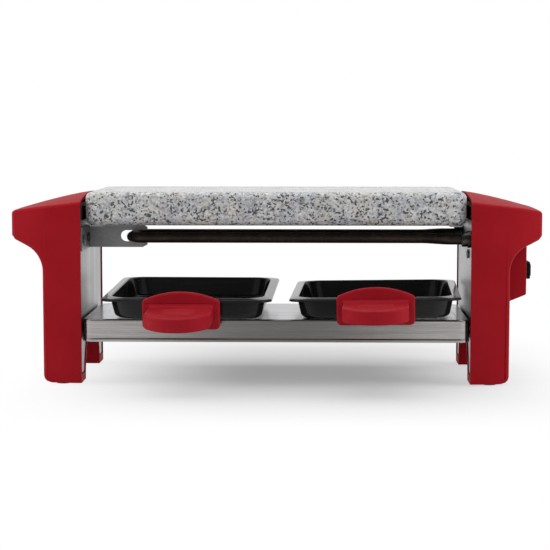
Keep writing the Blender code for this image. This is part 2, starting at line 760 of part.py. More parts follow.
def add_switch_box(housing, cavity, name):
    """Join the moulded switch box to the right housing and hollow it."""
    front = FRONT + SWITCH_BOX_SETBACK
    rear = REAR - SWITCH_BOX_SETBACK
    inner = LEG_OUTER - HOUSING_WALL / 2.0
    outline = [(inner, SWITCH_BOX_LOW), (SWITCH_BOX_OUTER, SWITCH_BOX_OUTER_LOW),
               (SWITCH_BOX_OUTER, SWITCH_BOX_TOP), (inner, SWITCH_BOX_TOP)]
    box = add_guide("switch_box", outline_mesh("switch_box", outline, "XZ", front, rear))
    bevel(box, SWITCH_BOX_EDGE)
    cut(housing, box, "UNION")
    wall = HOUSING_WALL
    deep = LEG_OUTER - 2.0 * wall
    hollow = [(deep, SWITCH_BOX_LOW + wall), (SWITCH_BOX_OUTER - wall, SWITCH_BOX_OUTER_LOW + wall),
              (SWITCH_BOX_OUTER - wall, SWITCH_BOX_TOP), (deep, SWITCH_BOX_TOP)]
    inside = outline_mesh("switch_box_hollow", hollow, "XZ", front + wall, rear - wall)
    cut(cavity, add_guide("switch_box_hollow", inside), "UNION")
    half_length = SWITCH_BODY_LENGTH / 2.0 + BORE_GAP
    half_height = SWITCH_BODY_HEIGHT / 2.0 + BORE_GAP
    window = box_mesh(name + "_switch_window",
                      (SWITCH_BOX_OUTER - 2.0 * wall, MIDDLE - half_length, SWITCH_HEIGHT - half_height),
                      (SWITCH_BOX_OUTER + OVERRUN, MIDDLE + half_length, SWITCH_HEIGHT + half_height))
    cut(cavity, add_guide(name + "_switch_window", window), "UNION")


# Side plates

def plate_outline():
    """Side view of a plate: flat top, two legs and the arch between them."""
    front = FRONT + PLATE_INSET
    rear = REAR - PLATE_INSET
    bottom = LEG_BOTTOM + LEG_FLOOR + SEAT_GAP
    corner = PLATE_CORNER
    points = [(front, bottom)]
    points += arc((front + corner, PLATE_TOP - corner), corner, math.pi, math.pi / 2.0)
    points += arc((rear - corner, PLATE_TOP - corner), corner, math.pi / 2.0, 0.0)
    points.append((rear, bottom))
    rise = ARCH_RISE + PLATE_INSET
    width = ARCH_HALF + PLATE_INSET
    start = math.asin((bottom - LEG_BOTTOM) / rise)
    steps = 2 * FINE_ARC_STEPS
    turns = [start + (math.pi - 2.0 * start) * step / steps for step in range(steps + 1)]
    points += [(MIDDLE + width * math.cos(turn), LEG_BOTTOM + rise * math.sin(turn))
               for turn in turns]
    return points


def ledge_outline():
    """Front view of the right ledge: bent out of the plate, then stepped down to the seat."""
    top = LEDGE_TOP
    low = top - PLATE_THICKNESS
    seat = top - LEDGE_STEP
    shoulder = PLATE_INNER - LEDGE_SHOULDER
    step_end = shoulder - LEDGE_STEP
    tip = PLATE_INNER - LEDGE_REACH
    root = PLATE_OUTER - PLATE_THICKNESS / 2.0
    skew = PLATE_THICKNESS / 2.0
    return [(root, low), (root, top), (shoulder, top), (step_end, seat), (tip, seat),
            (tip, seat - PLATE_THICKNESS), (step_end + skew, seat - PLATE_THICKNESS),
            (shoulder + skew, low)]


def make_side_plate(side, name):
    """One side plate, with its stone ledge lanced and bent out of the sheet."""
    ends = sorted((side * PLATE_INNER, side * PLATE_OUTER))
    plate = add_part(name, outline_mesh(name, plate_outline(), "YZ", ends[0], ends[1]), "stainless")
    front = FRONT + PLATE_INSET + WINDOW_MARGIN
    rear = REAR - PLATE_INSET - WINDOW_MARGIN
    through = sorted((side * (PLATE_INNER - OVERRUN), side * (PLATE_OUTER + OVERRUN)))
    window = box_mesh(name + "_window", (through[0], front, LEDGE_TOP),
                      (through[1], rear, LEDGE_TOP + WINDOW_HEIGHT))
    cut(plate, add_guide(name + "_window", window))
    ledge = outline_mesh(name + "_ledge", mirrored(ledge_outline(), side), "XZ", front, rear)
    cut(plate, add_guide(name + "_ledge", ledge), "UNION")
    for index, (setback, height) in enumerate(plate_fixings(side)):
        bore(plate, f"{name}_hole_{index}", SCREW_RADIUS + BORE_GAP,
             (side * (PLATE_INNER - OVERRUN), FRONT + setback, height),
             (side * (PLATE_OUTER + OVERRUN), FRONT + setback, height))
    if side > 0:
        for place, along in TERMINALS.items():
            bore(plate, f"{name}_{place}_bush_hole", BUSH_THREAD + BORE_GAP,
                 (PLATE_INNER - OVERRUN, along, ELEMENT_HEIGHT),
                 (PLATE_OUTER + OVERRUN, along, ELEMENT_HEIGHT))
    return plate


# Cooking stone

def make_stone():
    """Granite slab with rounded corners and edges, lifted off on its empty."""
    middle = Vector((0.0, STONE_Y, STONE_BOTTOM))
    carrier = add_empty("stone_lift", middle)
    outline = rounded_rectangle(STONE_LENGTH / 2.0, STONE_DEPTH / 2.0, STONE_CORNER)
    slab = outline_mesh("cooking_stone", outline, "XY", 0.0, STONE_THICKNESS)
    stone = add_part("cooking_stone", slab, "granite", carrier)
    bevel(stone, STONE_EDGE, segments=4)
    smooth(stone.data)
    return stone


# Tray

def make_tray():
    """Inverted tray drawn from one sheet, with a folded hem round its skirt."""
    half_y = TRAY_DEPTH / 2.0
    skirt_low = TRAY_TOP - TRAY_HEIGHT
    loops = []
    out = TRAY_HEM_STEP

    def ring(inset, height):
        """One outline of the tray, drawn in by a length."""
        radius = max(TRAY_CORNER - inset, TRAY_EDGE)
        loops.append((rounded_rectangle(TRAY_HALF - inset, half_y - inset, radius), height))

    ring(0.0, skirt_low)
    ring(0.0, skirt_low + TRAY_HEM)
    ring(out, skirt_low + TRAY_HEM + out)
    ring(out, TRAY_TOP - TRAY_EDGE)
    for step in range(1, 4):
        turn = math.pi / 2.0 * step / 3.0
        ring(out + TRAY_EDGE * (1.0 - math.cos(turn)), TRAY_TOP - TRAY_EDGE * (1.0 - math.sin(turn)))
    tray = add_part("tray", loft_mesh("tray", loops), "stainless")
    tray.location = (0.0, FRONT + TRAY_SETBACK + half_y, 0.0)
    solidify(tray, TRAY_SHEET, -1.0)
    for side in (-1, 1):
        for index, setback in enumerate(TRAY_SCREW_SETBACKS):
            along = FRONT + setback
            name = f"tray_pad_{side}_{index}"
            pad = cylinder_mesh(name, TRAY_PAD,
                                (side * (TRAY_HALF - TRAY_SHEET), along, TRAY_SCREW_HEIGHT),
                                (side * (PLATE_INNER - SEAT_GAP), along, TRAY_SCREW_HEIGHT))
            cut(tray, add_guide(name, pad), "UNION")
            bore(tray, f"tray_hole_{side}_{index}", SCREW_RADIUS + BORE_GAP,
                 (side * (TRAY_HALF - OVERRUN), along, TRAY_SCREW_HEIGHT),
                 (side * (TRAY_HALF + OVERRUN), along, TRAY_SCREW_HEIGHT))
    return tray


# Heating element

def hairpin_points():
    """Middle line of the rod from the front terminal round the tip to the rear terminal."""
    tip_centre = HAIRPIN_TIP - HAIRPIN_BEND
    front = [(ROD_END, TERMINAL_SPREAD), (HAIRPIN_SPLAY_END, TERMINAL_SPREAD)]
    run = HAIRPIN_SPLAY_END - HAIRPIN_SPLAY_START
    rise = TERMINAL_SPREAD - HAIRPIN_SPREAD
    for step in range(1, ARC_STEPS + 1):
        share = step / ARC_STEPS
        ease = share * share * (3.0 - 2.0 * share)
        front.append((HAIRPIN_SPLAY_END - run * share, TERMINAL_SPREAD - rise * ease))
    bend = arc((-tip_centre, 0.0), HAIRPIN_BEND, math.pi / 2.0, math.pi, FINE_ARC_STEPS // 2)
    front += bend
    half = [(across, HAIRPIN_Y - offset, ELEMENT_HEIGHT) for across, offset in front]
    other = [(across, 2.0 * HAIRPIN_Y - along, height) for across, along, height in reversed(half[:-1])]
    return half + other


def make_element():
    """The sheathed rod, its bushes, nuts, ceramic beads and terminal pins."""
    mesh = tube_mesh("heating_element", hairpin_points(), ROD_RADIUS, resolution=3)
    add_part("heating_element", mesh, "heated_steel")
    bore_radius = ROD_RADIUS + BORE_GAP
    collar_back = PLATE_INNER - SEAT_GAP
    collar_front = collar_back - BUSH_COLLAR_LENGTH
    neck_end = collar_front - BUSH_NECK_LENGTH
    thread_end = PLATE_OUTER + BUSH_THREAD_LENGTH
    for place, along in TERMINALS.items():
        origin = (0.0, along, ELEMENT_HEIGHT)
        bush = [(BUSH_THREAD, thread_end), (BUSH_THREAD, collar_back), (BUSH_COLLAR, collar_back),
                (BUSH_COLLAR, collar_front), (BUSH_NECK, collar_front), (BUSH_NECK, neck_end),
                (bore_radius, neck_end), (bore_radius, thread_end)]
        turned_part(f"element_bush_{place}", bush, "dull_steel", origin, (1.0, 0.0, 0.0), closed=True)
        nut_start = PLATE_OUTER + CUTOUT_TAB + 2.0 * SEAT_GAP
        nut = cylinder_mesh(f"element_nut_{place}", NUT_RADIUS, (nut_start, along, ELEMENT_HEIGHT),
                            (nut_start + NUT_THICKNESS, along, ELEMENT_HEIGHT), sides=6)
        nut = add_part(f"element_nut_{place}", nut, "brass")
        bore(nut, f"nut_bore_{place}", BUSH_THREAD + BORE_GAP,
             (nut_start - OVERRUN, along, ELEMENT_HEIGHT),
             (nut_start + NUT_THICKNESS + OVERRUN, along, ELEMENT_HEIGHT))
        bead_start = ROD_END + SEAT_GAP
        bead_end = bead_start + BEAD_LENGTH
        hole = PIN_RADIUS + BORE_GAP
        bead = [(BEAD_RADIUS, bead_end), (BEAD_RADIUS, bead_start), (hole, bead_start), (hole, bead_end)]
        turned_part(f"terminal_bead_{place}", bead, "ceramic", origin, (1.0, 0.0, 0.0), closed=True)
        pin = [(0.0, bead_start + PIN_LENGTH), (PIN_RADIUS, bead_start + PIN_LENGTH),
               (PIN_RADIUS, bead_start), (0.0, bead_start)]
        turned_part(f"terminal_pin_{place}", pin, "stainless", origin, (1.0, 0.0, 0.0), steps=12)


def make_bracket():
    """Slotted bracket that holds the hairpin's closed end."""
    low = ELEMENT_HEIGHT - BRACKET_HEIGHT / 2.0
    high = ELEMENT_HEIGHT + BRACKET_HEIGHT / 2.0
    back = -(PLATE_INNER - SEAT_GAP)
    tip = -(PLATE_INNER - BRACKET_REACH)
    slot = ROD_RADIUS + BORE_GAP
    closed = tip - SLOT_DEPTH + slot
    outline = [(back, low), (tip - ARM_CHAMFER, low), (tip, low + ARM_CHAMFER / 2.0),
               (tip, ELEMENT_HEIGHT - slot)]
    outline += arc((closed, ELEMENT_HEIGHT), slot, 1.5 * math.pi, math.pi / 2.0, FINE_ARC_STEPS)
    outline += [(tip, ELEMENT_HEIGHT + slot), (tip, high - ARM_CHAMFER / 2.0),
                (tip - ARM_CHAMFER, high), (back, high)]
    half = BRACKET_SHEET / 2.0
    arm = outline_mesh("element_bracket", outline, "XZ", HAIRPIN_Y - half, HAIRPIN_Y + half)
    bracket = add_part("element_bracket", arm, "dull_steel")
    flange = box_mesh("bracket_flange", (back, FRONT + BRACKET_FLANGE_START, low),
                      (back + BRACKET_SHEET, HAIRPIN_Y + half, high))
    cut(bracket, add_guide("bracket_flange", flange), "UNION")
    for index, setback in enumerate(BRACKET_SCREW_SETBACKS):
        bore(bracket, f"bracket_hole_{index}", SCREW_RADIUS + BORE_GAP,
             (back - OVERRUN, FRONT + setback, ELEMENT_HEIGHT),
             (back + OVERRUN, FRONT + setback, ELEMENT_HEIGHT))
    return bracket


def make_cutout():
    """Thermal cut-out: a disc body on a tab that the front nut clamps to the plate."""
    start = PLATE_OUTER + SEAT_GAP
    along = TERMINALS["front"]
    middle = ELEMENT_HEIGHT - CUTOUT_DROP
    half = CUTOUT_TAB_WIDTH / 2.0
    outline = arc((along, ELEMENT_HEIGHT), half, 0.0, math.pi, FINE_ARC_STEPS)
    outline += arc((along, middle), half, math.pi, 2.0 * math.pi, FINE_ARC_STEPS)
    tab = outline_mesh("thermal_cutout", outline, "YZ", start, start + CUTOUT_TAB)
    cutout = add_part("thermal_cutout", tab, "ceramic")
    body = cylinder_mesh("cutout_body", CUTOUT_RADIUS - CUTOUT_TAB,
                         (start + CUTOUT_TAB / 2.0, along, middle),
                         (start + CUTOUT_BODY, along, middle))
    cut(cutout, add_guide("cutout_body", body), "UNION")
    bore(cutout, "cutout_hole", BUSH_THREAD + BORE_GAP, (start - OVERRUN, along, ELEMENT_HEIGHT),
         (start + OVERRUN, along, ELEMENT_HEIGHT))
    return cutout


# Screws and feet

def make_screw(name, place, aim, length, parent=None):
    """Pan head screw whose head sits at a place and whose shank runs along aim."""
    round_share = 0.6
    profile = [(0.0, 0.0), (SCREW_HEAD_RADIUS * round_share, 0.0),
               (SCREW_HEAD_RADIUS, -SCREW_HEAD * round_share), (SCREW_HEAD_RADIUS, -SCREW_HEAD),
               (SCREW_RADIUS, -SCREW_HEAD), (SCREW_RADIUS, -SCREW_HEAD - length),
               (0.0, -SCREW_HEAD - length)]
    back = [-value for value in aim]
    return turned_part(name, profile, "stainless", place, back, parent, steps=12)


def make_screws():
    """The screws that hold plates, tray and bracket to the housings."""
    head = TRAY_HALF - TRAY_SHEET - TRAY_HEM_STEP - SEAT_GAP - SCREW_HEAD
    for side, word in ((-1, "left"), (1, "right")):
        for place, setback in zip(("front", "rear"), TRAY_SCREW_SETBACKS):
            make_screw(f"tray_screw_{word}_{place}", (side * head, FRONT + setback, TRAY_SCREW_HEIGHT),
                       (side, 0.0, 0.0), SCREW_LENGTH)
    head = PLATE_INNER - 2.0 * SEAT_GAP - BRACKET_SHEET - SCREW_HEAD
    for place, setback in zip(("front", "rear"), BRACKET_SCREW_SETBACKS):
        make_screw(f"bracket_screw_{place}", (-head, FRONT + setback, ELEMENT_HEIGHT),
                   (-1.0, 0.0, 0.0), SCREW_LENGTH)
    head = PLATE_INNER - SEAT_GAP - SCREW_HEAD
    make_screw("plate_screw", (head, FRONT + PLATE_SCREW_SETBACK, PLATE_SCREW_HEIGHT),
               (1.0, 0.0, 0.0), SCREW_LENGTH)


def make_feet():
    """Four turned rubber feet, each with a stem pressed into its leg."""
    seat = LEG_BOTTOM - SEAT_GAP
    stem_top = LEG_BOTTOM + FOOT_STEM_LENGTH
    profile = [(0.0, stem_top), (FOOT_STEM, stem_top), (FOOT_STEM, seat), (FOOT_RADIUS, seat),
               (FOOT_RADIUS - seat / 2.0, 0.0), (0.0, 0.0)]
    for side, word in ((-1, "left"), (1, "right")):
        for place, along in (("front", FRONT + FOOT_SETBACK), ("rear", REAR - FOOT_SETBACK)):
            turned_part(f"foot_{word}_{place}", profile, "rubber", (side * FOOT_CENTRE, along, 0.0),
                        (0.0, 0.0, 1.0), steps=16)


# Switch

def make_switch():
    """Switch body with its bezel and window, two tabs, and the rocker on its pivot."""
    half_length = SWITCH_BODY_LENGTH / 2.0
    half_height = SWITCH_BODY_HEIGHT / 2.0
    body_back = SWITCH_BOX_OUTER - SWITCH_BODY_DEPTH
    body_mesh = box_mesh("switch_body", (body_back, MIDDLE - half_length, SWITCH_HEIGHT - half_height),
                         (SWITCH_FACE + BEZEL_PROUD / 2.0, MIDDLE + half_length,
                          SWITCH_HEIGHT + half_height))
    body = add_part("switch_body", body_mesh, "black_plastic")
    bezel = box_mesh("switch_bezel",
                     (SWITCH_FACE, MIDDLE - BEZEL_LENGTH / 2.0, SWITCH_HEIGHT - BEZEL_HEIGHT / 2.0),
                     (SWITCH_FACE + BEZEL_PROUD, MIDDLE + BEZEL_LENGTH / 2.0,
                      SWITCH_HEIGHT + BEZEL_HEIGHT / 2.0))
    bezel = add_guide("switch_bezel", bezel)
    bevel(bezel, BEZEL_PROUD / 4.0)
    cut(body, bezel, "UNION")
    window_y = ROCKER_HALF + ROCKER_WINDOW_PLAY
    window_z = ROCKER_HALF_HEIGHT + BORE_GAP
    keel_reach = math.hypot(ROCKER_KEEL_HALF, ROCKER_KEEL) + BORE_GAP
    window = box_mesh("rocker_window", (PIVOT_X - keel_reach, MIDDLE - window_y, SWITCH_HEIGHT - window_z),
                      (SWITCH_FACE + OVERRUN, MIDDLE + window_y, SWITCH_HEIGHT + window_z))
    cut(body, add_guide("rocker_window", window))
    bore(body, "rocker_pin_hole", ROCKER_PIN + BORE_GAP,
         (PIVOT_X, MIDDLE, SWITCH_HEIGHT - half_height - OVERRUN),
         (PIVOT_X, MIDDLE, SWITCH_HEIGHT + half_height + OVERRUN))
    for word, sign in (("upper", 1), ("lower", -1)):
        along = MIDDLE + sign * SWITCH_TAB_SPACING / 2.0
        low = (body_back - SEAT_GAP - SWITCH_TAB_LENGTH, along - SWITCH_TAB_SHEET / 2.0,
               SWITCH_HEIGHT - SWITCH_TAB_WIDTH / 2.0)
        high = (body_back - SEAT_GAP, along + SWITCH_TAB_SHEET / 2.0, SWITCH_HEIGHT + SWITCH_TAB_WIDTH / 2.0)
        add_part(f"switch_tab_{word}", box_mesh(f"switch_tab_{word}", low, high), "brass")
    pivot = add_empty("rocker_pivot", (PIVOT_X, MIDDLE, SWITCH_HEIGHT), ROCKER_TILT)
    outline = [(-ROCKER_KEEL, -ROCKER_KEEL_HALF), (ROCKER_KEEL / 2.0, -ROCKER_HALF),
               (ROCKER_END_RISE, -ROCKER_HALF), (ROCKER_MIDDLE_RISE, 0.0),
               (ROCKER_END_RISE, ROCKER_HALF), (ROCKER_KEEL / 2.0, ROCKER_HALF),
               (-ROCKER_KEEL, ROCKER_KEEL_HALF)]
    rocker = outline_mesh("switch_rocker", outline, "XY", -ROCKER_HALF_HEIGHT, ROCKER_HALF_HEIGHT)
    rocker = add_part("switch_rocker", rocker, "black_plastic", pivot)
    bevel(rocker, ROCKER_KEEL / 8.0, segments=1)
    reach = half_height - BORE_GAP / 3.0
    pin = cylinder_mesh("rocker_pins", ROCKER_PIN, (0.0, 0.0, -reach), (0.0, 0.0, reach), sides=10)
    pin = add_guide("rocker_pins", pin)
    pin.parent = pivot
    cut(rocker, pin, "UNION")


# Mains parts inside the right housing

def make_mains_parts():
    """Terminal block with its screw, and the cord gland in the rear wall."""
    outer = LEG_OUTER - HOUSING_WALL - BLOCK_BOSS - SEAT_GAP
    inner = outer - BLOCK_THICKNESS
    along = FRONT + BLOCK_SETBACK
    block = box_mesh("terminal_block",
                     (inner, along - BLOCK_LENGTH / 2.0, BLOCK_CENTRE_HEIGHT - BLOCK_HEIGHT / 2.0),
                     (outer, along + BLOCK_LENGTH / 2.0, BLOCK_CENTRE_HEIGHT + BLOCK_HEIGHT / 2.0))
    block = add_part("terminal_block", block, "ceramic")
    bevel(block, SEAT_GAP, segments=1)
    bore(block, "block_hole", SCREW_RADIUS + BORE_GAP, (inner - OVERRUN, along, BLOCK_CENTRE_HEIGHT),
         (outer + OVERRUN, along, BLOCK_CENTRE_HEIGHT))
    make_screw("block_screw", (inner - SEAT_GAP - SCREW_HEAD, along, BLOCK_CENTRE_HEIGHT),
               (1.0, 0.0, 0.0), BLOCK_SCREW_LENGTH)
    lip = REAR + SEAT_GAP
    inside = REAR - GLAND_PAD - SEAT_GAP
    profile = [(GLAND_FLANGE - GLAND_LIP / 2.0, lip + GLAND_LIP), (GLAND_FLANGE, lip), (GLAND_RADIUS, lip),
               (GLAND_RADIUS, inside), (GLAND_FLANGE, inside), (GLAND_FLANGE, inside - GLAND_LIP),
               (GLAND_BORE, inside - GLAND_LIP), (GLAND_BORE, lip + GLAND_LIP)]
    turned_part("cord_gland", profile, "rubber", (GLAND_X, 0.0, GLAND_HEIGHT), (0.0, 1.0, 0.0),
                closed=True)


def make_lead(name, start, start_pull, end, end_pull):
    """A sleeved lead along a cubic curve that leaves each end in the direction of its pull."""
    first = Vector(start) + Vector(start_pull) * LEAD_RADIUS
    last = Vector(end) + Vector(end_pull) * LEAD_RADIUS
    controls = [first, first + Vector(start_pull) * LEAD_PULL, last + Vector(end_pull) * LEAD_PULL, last]
    points = [Vector(start)]
    for step in range(ARC_STEPS + 1):
        share = step / ARC_STEPS
        rest = 1.0 - share
        weights = (rest ** 3, 3.0 * rest * rest * share, 3.0 * rest * share * share, share ** 3)
        points.append(sum((control * weight for control, weight in zip(controls, weights)), Vector()))
    points.append(Vector(end))
    return add_part(name, tube_mesh(name, points, LEAD_RADIUS), "lead_sleeve")


def make_leads():
    """Leads between terminal block, switch, cut-out and heating element."""
    block_x = LEG_OUTER - HOUSING_WALL - BLOCK_BOSS - SEAT_GAP - BLOCK_THICKNESS / 2.0
    block_front = FRONT + BLOCK_SETBACK - BLOCK_LENGTH / 2.0
    block_top = BLOCK_CENTRE_HEIGHT + BLOCK_HEIGHT / 2.0 + SEAT_GAP
    tab_x = SWITCH_BOX_OUTER - SWITCH_BODY_DEPTH - 2.0 * SEAT_GAP - SWITCH_TAB_LENGTH
    tab_y = SWITCH_TAB_SPACING / 2.0
    cutout = (PLATE_OUTER + CUTOUT_BODY / 2.0 + SEAT_GAP, ELEMENT_HEIGHT - CUTOUT_DROP)
    cutout_side = TERMINALS["front"] + CUTOUT_RADIUS - CUTOUT_TAB + SEAT_GAP
    pin_x = ROD_END + PIN_LENGTH - 2.0 * LEAD_RADIUS
    pin_low = ELEMENT_HEIGHT - PIN_RADIUS - SEAT_GAP
    make_lead("lead_supply", (block_x, block_front - SEAT_GAP, BLOCK_CENTRE_HEIGHT), (0.0, -1.0, 0.0),
              (tab_x, MIDDLE + tab_y, SWITCH_HEIGHT), (-1.0, 0.0, 0.0))
    make_lead("lead_switched", (tab_x, MIDDLE - tab_y, SWITCH_HEIGHT), (-1.0, 0.0, 0.0),
              (cutout[0], cutout_side, cutout[1]), (0.0, 1.0, 0.0))
    make_lead("lead_heater", (PLATE_OUTER + CUTOUT_BODY + SEAT_GAP, TERMINALS["front"], cutout[1]),
              (1.0, 0.0, 0.0), (pin_x, TERMINALS["front"], pin_low), (0.0, 0.0, -1.0))
    make_lead("lead_return", (pin_x, TERMINALS["rear"], pin_low), (0.0, 0.0, -1.0),
              (block_x, block_front + BLOCK_LENGTH / 4.0, block_top), (0.0, 0.0, 1.0))


TERMINALS = {"front": HAIRPIN_Y - TERMINAL_SPREAD, "rear": HAIRPIN_Y + TERMINAL_SPREAD}
GLAND_X = (PLATE_OUTER + LEG_OUTER - HOUSING_WALL) / 2.0


# Pans

def dish_loops():
    """Outlines of the pan's inner surface, from the rim's outer edge down to its base."""
    wall = PAN_HALF - PAN_RIM - PAN_SHEET
    rim_corner = PAN_RIM_CORNER + PAN_RIM
    lip = PAN_SHEET
    floor = PAN_SHEET
    steps = 3
    loops = [(rounded_rectangle(PAN_HALF, PAN_HALF, PAN_RIM_CORNER), PAN_HEIGHT),
             (rounded_rectangle(wall + lip / 2.0, wall + lip / 2.0, rim_corner), PAN_HEIGHT),
             (rounded_rectangle(wall, wall, rim_corner), PAN_HEIGHT - lip)]
    lean = PAN_DRAFT / PAN_HEIGHT
    foot = PAN_FOOT_RADIUS
    base_half = wall - lean * (PAN_HEIGHT - lip - floor - foot)
    corner = PAN_BASE_CORNER + foot
    for step in range(steps + 1):
        turn = math.pi / 2.0 * step / steps
        drawn_in = foot * (1.0 - math.cos(turn))
        height = floor + foot * (1.0 - math.sin(turn))
        outline = rounded_rectangle(base_half - drawn_in, base_half - drawn_in, corner - drawn_in)
        loops.append((outline, height))
    return loops


def make_dish(word, carrier):
    """Pan drawn from one sheet, with a flat rim."""
    dish = add_part(f"pan_{word}_dish", loft_mesh(f"pan_{word}_dish", dish_loops()), "nonstick", carrier)
    solidify(dish, PAN_SHEET, -1.0)
    return dish


def handle_frame(word):
    """Place of a handle: its origin on the rim's front edge, at the top of the grip."""
    drop = PAN_HEIGHT - HANDLE_DROPS[word]
    place = (HANDLE_SHIFTS[word], -PAN_HALF - SHIELD_GAP, drop)
    return Matrix.Translation(place) @ Matrix.Rotation(HANDLE_DROOPS[word], 4, "X")


def shield_outline():
    """Front view of the shield: straight sides, round corners and an arched top."""
    half = SHIELD_WIDTH / 2.0
    corner = SHIELD_CORNER
    radius = (half ** 2 + SHIELD_CROWN ** 2) / (2.0 * SHIELD_CROWN)
    centre = SHIELD_SHOULDER + SHIELD_CROWN - radius
    limit = math.asin((half - corner / 2.0) / radius)
    points = arc((-half + corner, -SHIELD_BELOW + corner), corner, math.pi, 1.5 * math.pi, ARC_STEPS // 2)
    points += arc((half - corner, -SHIELD_BELOW + corner), corner, 1.5 * math.pi, 2.0 * math.pi,
                  ARC_STEPS // 2)
    points.append((half, SHIELD_SHOULDER - corner / 2.0))
    points += arc((0.0, centre), radius, math.pi / 2.0 - limit, math.pi / 2.0 + limit, FINE_ARC_STEPS)
    points.append((-half, SHIELD_SHOULDER - corner / 2.0))
    return points


def grip_outline():
    """Top view of the grip: parallel sides and a bowed front edge."""
    half = GRIP_WIDTH / 2.0
    back = -SHIELD_THICKNESS / 2.0
    side_end = -SHIELD_THICKNESS - GRIP_LENGTH
    radius = (half ** 2 + GRIP_BOW ** 2) / (2.0 * GRIP_BOW)
    limit = math.asin(half / radius)
    centre = side_end - GRIP_BOW + radius
    bow = arc((0.0, centre), radius, 1.5 * math.pi - limit, 1.5 * math.pi + limit, FINE_ARC_STEPS)
    return [(-half, back)] + bow + [(half, back)]


def grip_section():
    """Front view of the grip: open above, with an underside that bellies down."""
    half = GRIP_WIDTH / 2.0
    radius = (half ** 2 + GRIP_BELLY ** 2) / (2.0 * GRIP_BELLY)
    wide = half + GRIP_EDGE
    limit = math.asin(wide / radius)
    belly = arc((0.0, radius - GRIP_THICKNESS), radius, 1.5 * math.pi - limit, 1.5 * math.pi + limit)
    return belly + [(wide, GRIP_EDGE), (-wide, GRIP_EDGE)]


def make_handle(word, carrier):
    """Moulded handle: an arched shield with a ribbed grip, and a pocket for the tang."""
    name = f"pan_{word}_handle"
    frame = handle_frame(word)
    shield = outline_mesh(name, shield_outline(), "XZ", -SHIELD_THICKNESS, 0.0)
    handle = add_part(name, shield, "red_plastic", carrier)
    handle.matrix_local = frame
    tongue = outline_mesh(name + "_grip", grip_outline(), "XY", -GRIP_THICKNESS, 0.0)
    grip = add_guide(name + "_grip", tongue)
    section = add_guide(name + "_section", outline_mesh(
        name + "_section", grip_section(), "XZ", -SHIELD_THICKNESS - GRIP_LENGTH - GRIP_BOW - OVERRUN, 0.0))
    cut(grip, section, "INTERSECT")
    cut(handle, grip, "UNION")
    bevel(handle, GRIP_EDGE)
    pocket_half = TANG_WIDTH / 2.0 + BORE_GAP
    pocket_low = -GRIP_THICKNESS / 2.0 - TANG_SHEET / 2.0 - BORE_GAP
    pocket = add_guide(name + "_pocket", box_mesh(
        name + "_pocket", (-pocket_half, -SHIELD_THICKNESS - TANG_INSERT - BORE_GAP, pocket_low),
        (pocket_half, OVERRUN, pocket_low + TANG_SHEET + 2.0 * BORE_GAP)))
    along = -SHIELD_THICKNESS - HANDLE_SCREW_INSET
    hole = add_guide(name + "_screw_hole", cylinder_mesh(
        name + "_screw_hole", SCREW_RADIUS + BORE_GAP, (0.0, along, -GRIP_THICKNESS - OVERRUN),
        (0.0, along, -GRIP_THICKNESS / 2.0 + TANG_SHEET), sides=12))
    sink = add_guide(name + "_screw_sink", cylinder_mesh(
        name + "_screw_sink", SCREW_HEAD_RADIUS + BORE_GAP, (0.0, along, -GRIP_THICKNESS - OVERRUN),
        (0.0, along, -GRIP_THICKNESS + SCREW_HEAD + 2.0 * SEAT_GAP), sides=12))
    guides = [grip, section, pocket, hole, sink]
    for index in range(RIB_COUNT):
        rib_y = -SHIELD_THICKNESS - GRIP_LENGTH + RIB_PITCH * (index + 1)
        groove = add_guide(f"{name}_groove_{index}", box_mesh(
            f"{name}_groove_{index}", (-RIB_LENGTH / 2.0, rib_y - RIB_WIDTH / 2.0, -RIB_DEPTH),
            (RIB_LENGTH / 2.0, rib_y + RIB_WIDTH / 2.0, OVERRUN)))
        cut(handle, groove)
        guides.append(groove)
    for guide in (pocket, hole, sink):
        cut(handle, guide)
    for guide in guides:
        guide.parent = carrier
        guide.matrix_local = frame
    smooth(handle.data)
    return handle


